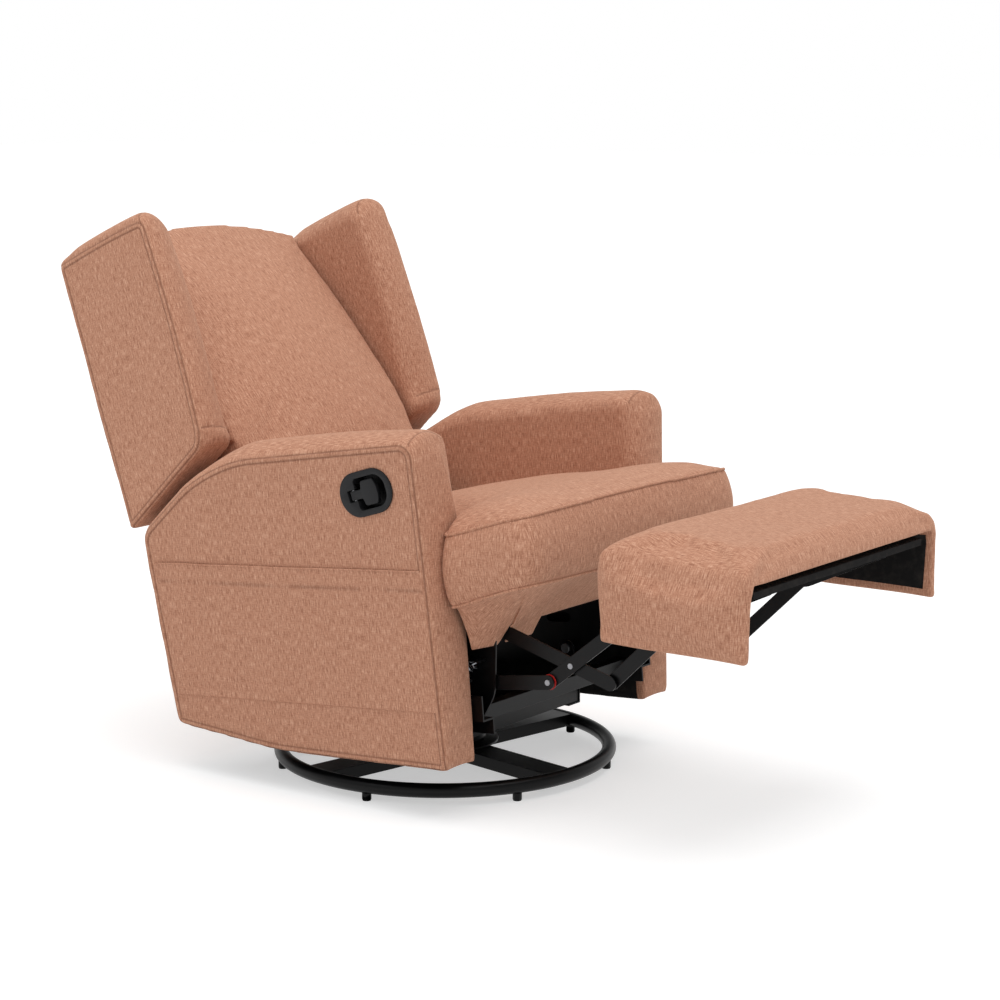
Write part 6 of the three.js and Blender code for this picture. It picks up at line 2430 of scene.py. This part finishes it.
@dataclass
class SteelWork:
    """Carried-over rigid pieces: edges eased on a merged copy, and the right finish on each."""

    ease: float = 0.00055
    crease: float = 38.0
    stands_out: float = 0.0003
    finishes: dict[str, Finish] = field(
        default_factory=lambda: {
            "upholstery": Finish.FABRIC,
            "plywood": Finish.PLYWOOD,
            "bright_steel": Finish.PLATED,
            "lever_plastic": Finish.PLASTIC,
            "cable_sheath": Finish.CABLE,
            "red_plastic": Finish.WASHER,
            "black_steel": Finish.BLACK_STEEL,
        }
    )
    wrapped: tuple[str, ...] = ("footrest_board",)
    riveted: tuple[str, ...] = ("ottoman_link", "glide_link")
    plain: tuple[str, ...] = ("seat_springs", "back_springs", "tension_spring_left", "tension_spring_right")

    def slots(self) -> dict[str, str]:
        """Material slot of each CAD node, from the record."""
        return {row["node"]: row["material_slot"] for row in frame["record"]["subparts"]}

    def brighten(self, bm: bmesh.types.BMesh) -> None:
        """Gives the rivet heads that stand out from a flat link their bright metal.

        Args:
            bm: The link's mesh.
        """
        sides: dict[float, float] = {}
        for face in bm.faces:
            if abs(face.normal.x) > 0.99:
                level = round(face.calc_center_median().x, 5)
                sides[level] = sides.get(level, 0.0) + face.calc_area()
        plates = sorted(sorted(sides, key=lambda level: -sides[level])[:2])
        if len(plates) < 2:
            return
        for face in bm.faces:
            centre = face.calc_center_median().x
            if centre < plates[0] - self.stands_out or centre > plates[1] + self.stands_out:
                face.material_index = 1

    def eased(self, node: str, slot: str) -> None:
        """Replaces a sharp-edged node by a merged copy with eased edges.

        Args:
            node: Name of the CAD node.
            slot: Its material slot.
        """
        mesh = frame["nodes"][node].data.copy()
        bm = bmesh.new()
        bm.from_mesh(mesh)
        bmesh.ops.remove_doubles(bm, verts=bm.verts, dist=0.000002)
        bmesh.ops.dissolve_limit(bm, angle_limit=math.radians(0.5), verts=bm.verts, edges=bm.edges)
        for face in bm.faces:
            face.smooth = True
        for edge in bm.edges:
            edge.smooth = edge.calc_face_angle(0.0) < math.radians(self.crease)
        mesh.materials.clear()
        finish = Finish.LINING if node in self.wrapped else self.finishes[slot]
        mesh.materials.append(SHELF[finish])
        if node.startswith(self.riveted):
            mesh.materials.append(SHELF[Finish.PLATED])
            self.brighten(bm)
        bm.to_mesh(mesh)
        bm.free()
        piece = linked(f"{node}_eased", mesh)
        bevel = piece.modifiers.new("ease", "BEVEL")
        bevel.width = self.ease
        bevel.segments = 2
        bevel.limit_method = "ANGLE"
        bevel.angle_limit = math.radians(self.crease)
        bevel.harden_normals = False
        body = next(name for name, nodes in frame["record"]["behaviour"]["bodies"].items() if node in nodes)
        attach(piece, body)
        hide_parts(node)
        log.info("%s: edges eased", node)

    def build(self, replaced: Iterable[str]) -> None:
        """Dresses every node that no other piece stands for.

        Args:
            replaced: Nodes that already have a piece of their own.
        """
        done = set(replaced)
        slots = self.slots()
        for node, thing in frame["nodes"].items():
            if node in done:
                continue
            slot = slots.get(node, "black_steel")
            if node in self.plain or slot == "cable_sheath":
                thing.data.materials.clear()
                thing.data.materials.append(SHELF[self.finishes[slot]])
                log.info("%s: dressed", node)
            else:
                self.eased(node, slot)


@dataclass
class Studio:
    """White floor, bright sky, soft sun, one soft lamp and the camera at the photograph's angle."""

    azimuth: float = -53.82
    elevation: float = 9.65
    distance: float = 4.322
    target: Trio = (0.0, -0.01792, 0.480)
    lens: float = 90.1
    world: float = 0.64
    sun: float = 1.55
    sun_width: float = 50.0
    sun_from: Trio = (-0.05, -0.22, 1.0)
    floor: float = 60.0

    def camera(self) -> None:
        """Stands the camera."""
        azimuth, elevation = math.radians(self.azimuth), math.radians(self.elevation)
        away = Vector(
            (
                math.sin(azimuth) * math.cos(elevation),
                -math.cos(azimuth) * math.cos(elevation),
                math.sin(elevation),
            )
        )
        data = bpy.data.cameras.new("camera")
        data.lens = self.lens
        data.sensor_width = 36.0
        data.sensor_fit = "HORIZONTAL"
        data.clip_end = 200.0
        camera = linked("camera", data)
        camera.location = Vector(self.target) + away * self.distance
        camera.rotation_euler = (-away).to_track_quat("-Z", "Y").to_euler()
        bpy.context.scene.camera = camera

    def lamp(self, name: str, place: Sequence[float], size: float, power: float) -> None:
        """Hangs one soft square lamp that faces the chair.

        Args:
            name: Its name.
            place: Where it hangs.
            size: Its side.
            power: Its power in watts.
        """
        data = bpy.data.lights.new(name, "AREA")
        data.shape = "SQUARE"
        data.size = size
        data.energy = power
        lamp = linked(name, data)
        lamp.location = place
        lamp.rotation_euler = (Vector((0, 0, 0.5)) - Vector(place)).to_track_quat("-Z", "Y").to_euler()

    def lights(self) -> None:
        """Sets the white sky, the soft sun and the window lamp."""
        r = Recipe("studio", True)
        sky, backdrop = [
            r.node("ShaderNodeBackground", None, {"Color": (1, 1, 1, 1), "Strength": strength})
            for strength in (self.world, 1.0)
        ]
        seen = r.node("ShaderNodeLightPath", None, None, "Is Camera Ray")
        mixed = r.node("ShaderNodeMixShader", None, {0: seen, 1: sky, 2: backdrop})
        bpy.context.scene.world = r.ended(mixed)
        data = bpy.data.lights.new("key", "SUN")
        data.energy = self.sun
        data.angle = math.radians(self.sun_width)
        key = linked("key", data)
        key.rotation_euler = Vector(self.sun_from).to_track_quat("Z", "Y").to_euler()
        self.lamp("window", (-1.9, 0.5, 2.5), 1.4, 8.0)

    def build(self) -> None:
        """Sets up floor, lamps, camera and view."""
        mesh = Form.sheet(2, 2, self.floor).mesh("floor")
        mesh.materials.append(StudioFloor().material())
        floor = linked("floor", mesh)
        self.camera()
        self.lights()
        bpy.context.scene.view_settings.view_transform = "Standard"


def main() -> None:
    """Builds the chair in order."""
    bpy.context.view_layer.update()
    Studio().build()
    RingBase().build()
    Arms().build()
    SidePocket().build()
    Wings().build()
    SeatCushion().build()
    SeatApron().build()
    BackCushion().build()
    BackPanels().build()
    Footrest().build()
    LeverSet().build()
    SteelWork().build(SHOP.replaced)


if __name__ == "__main__":
    main()
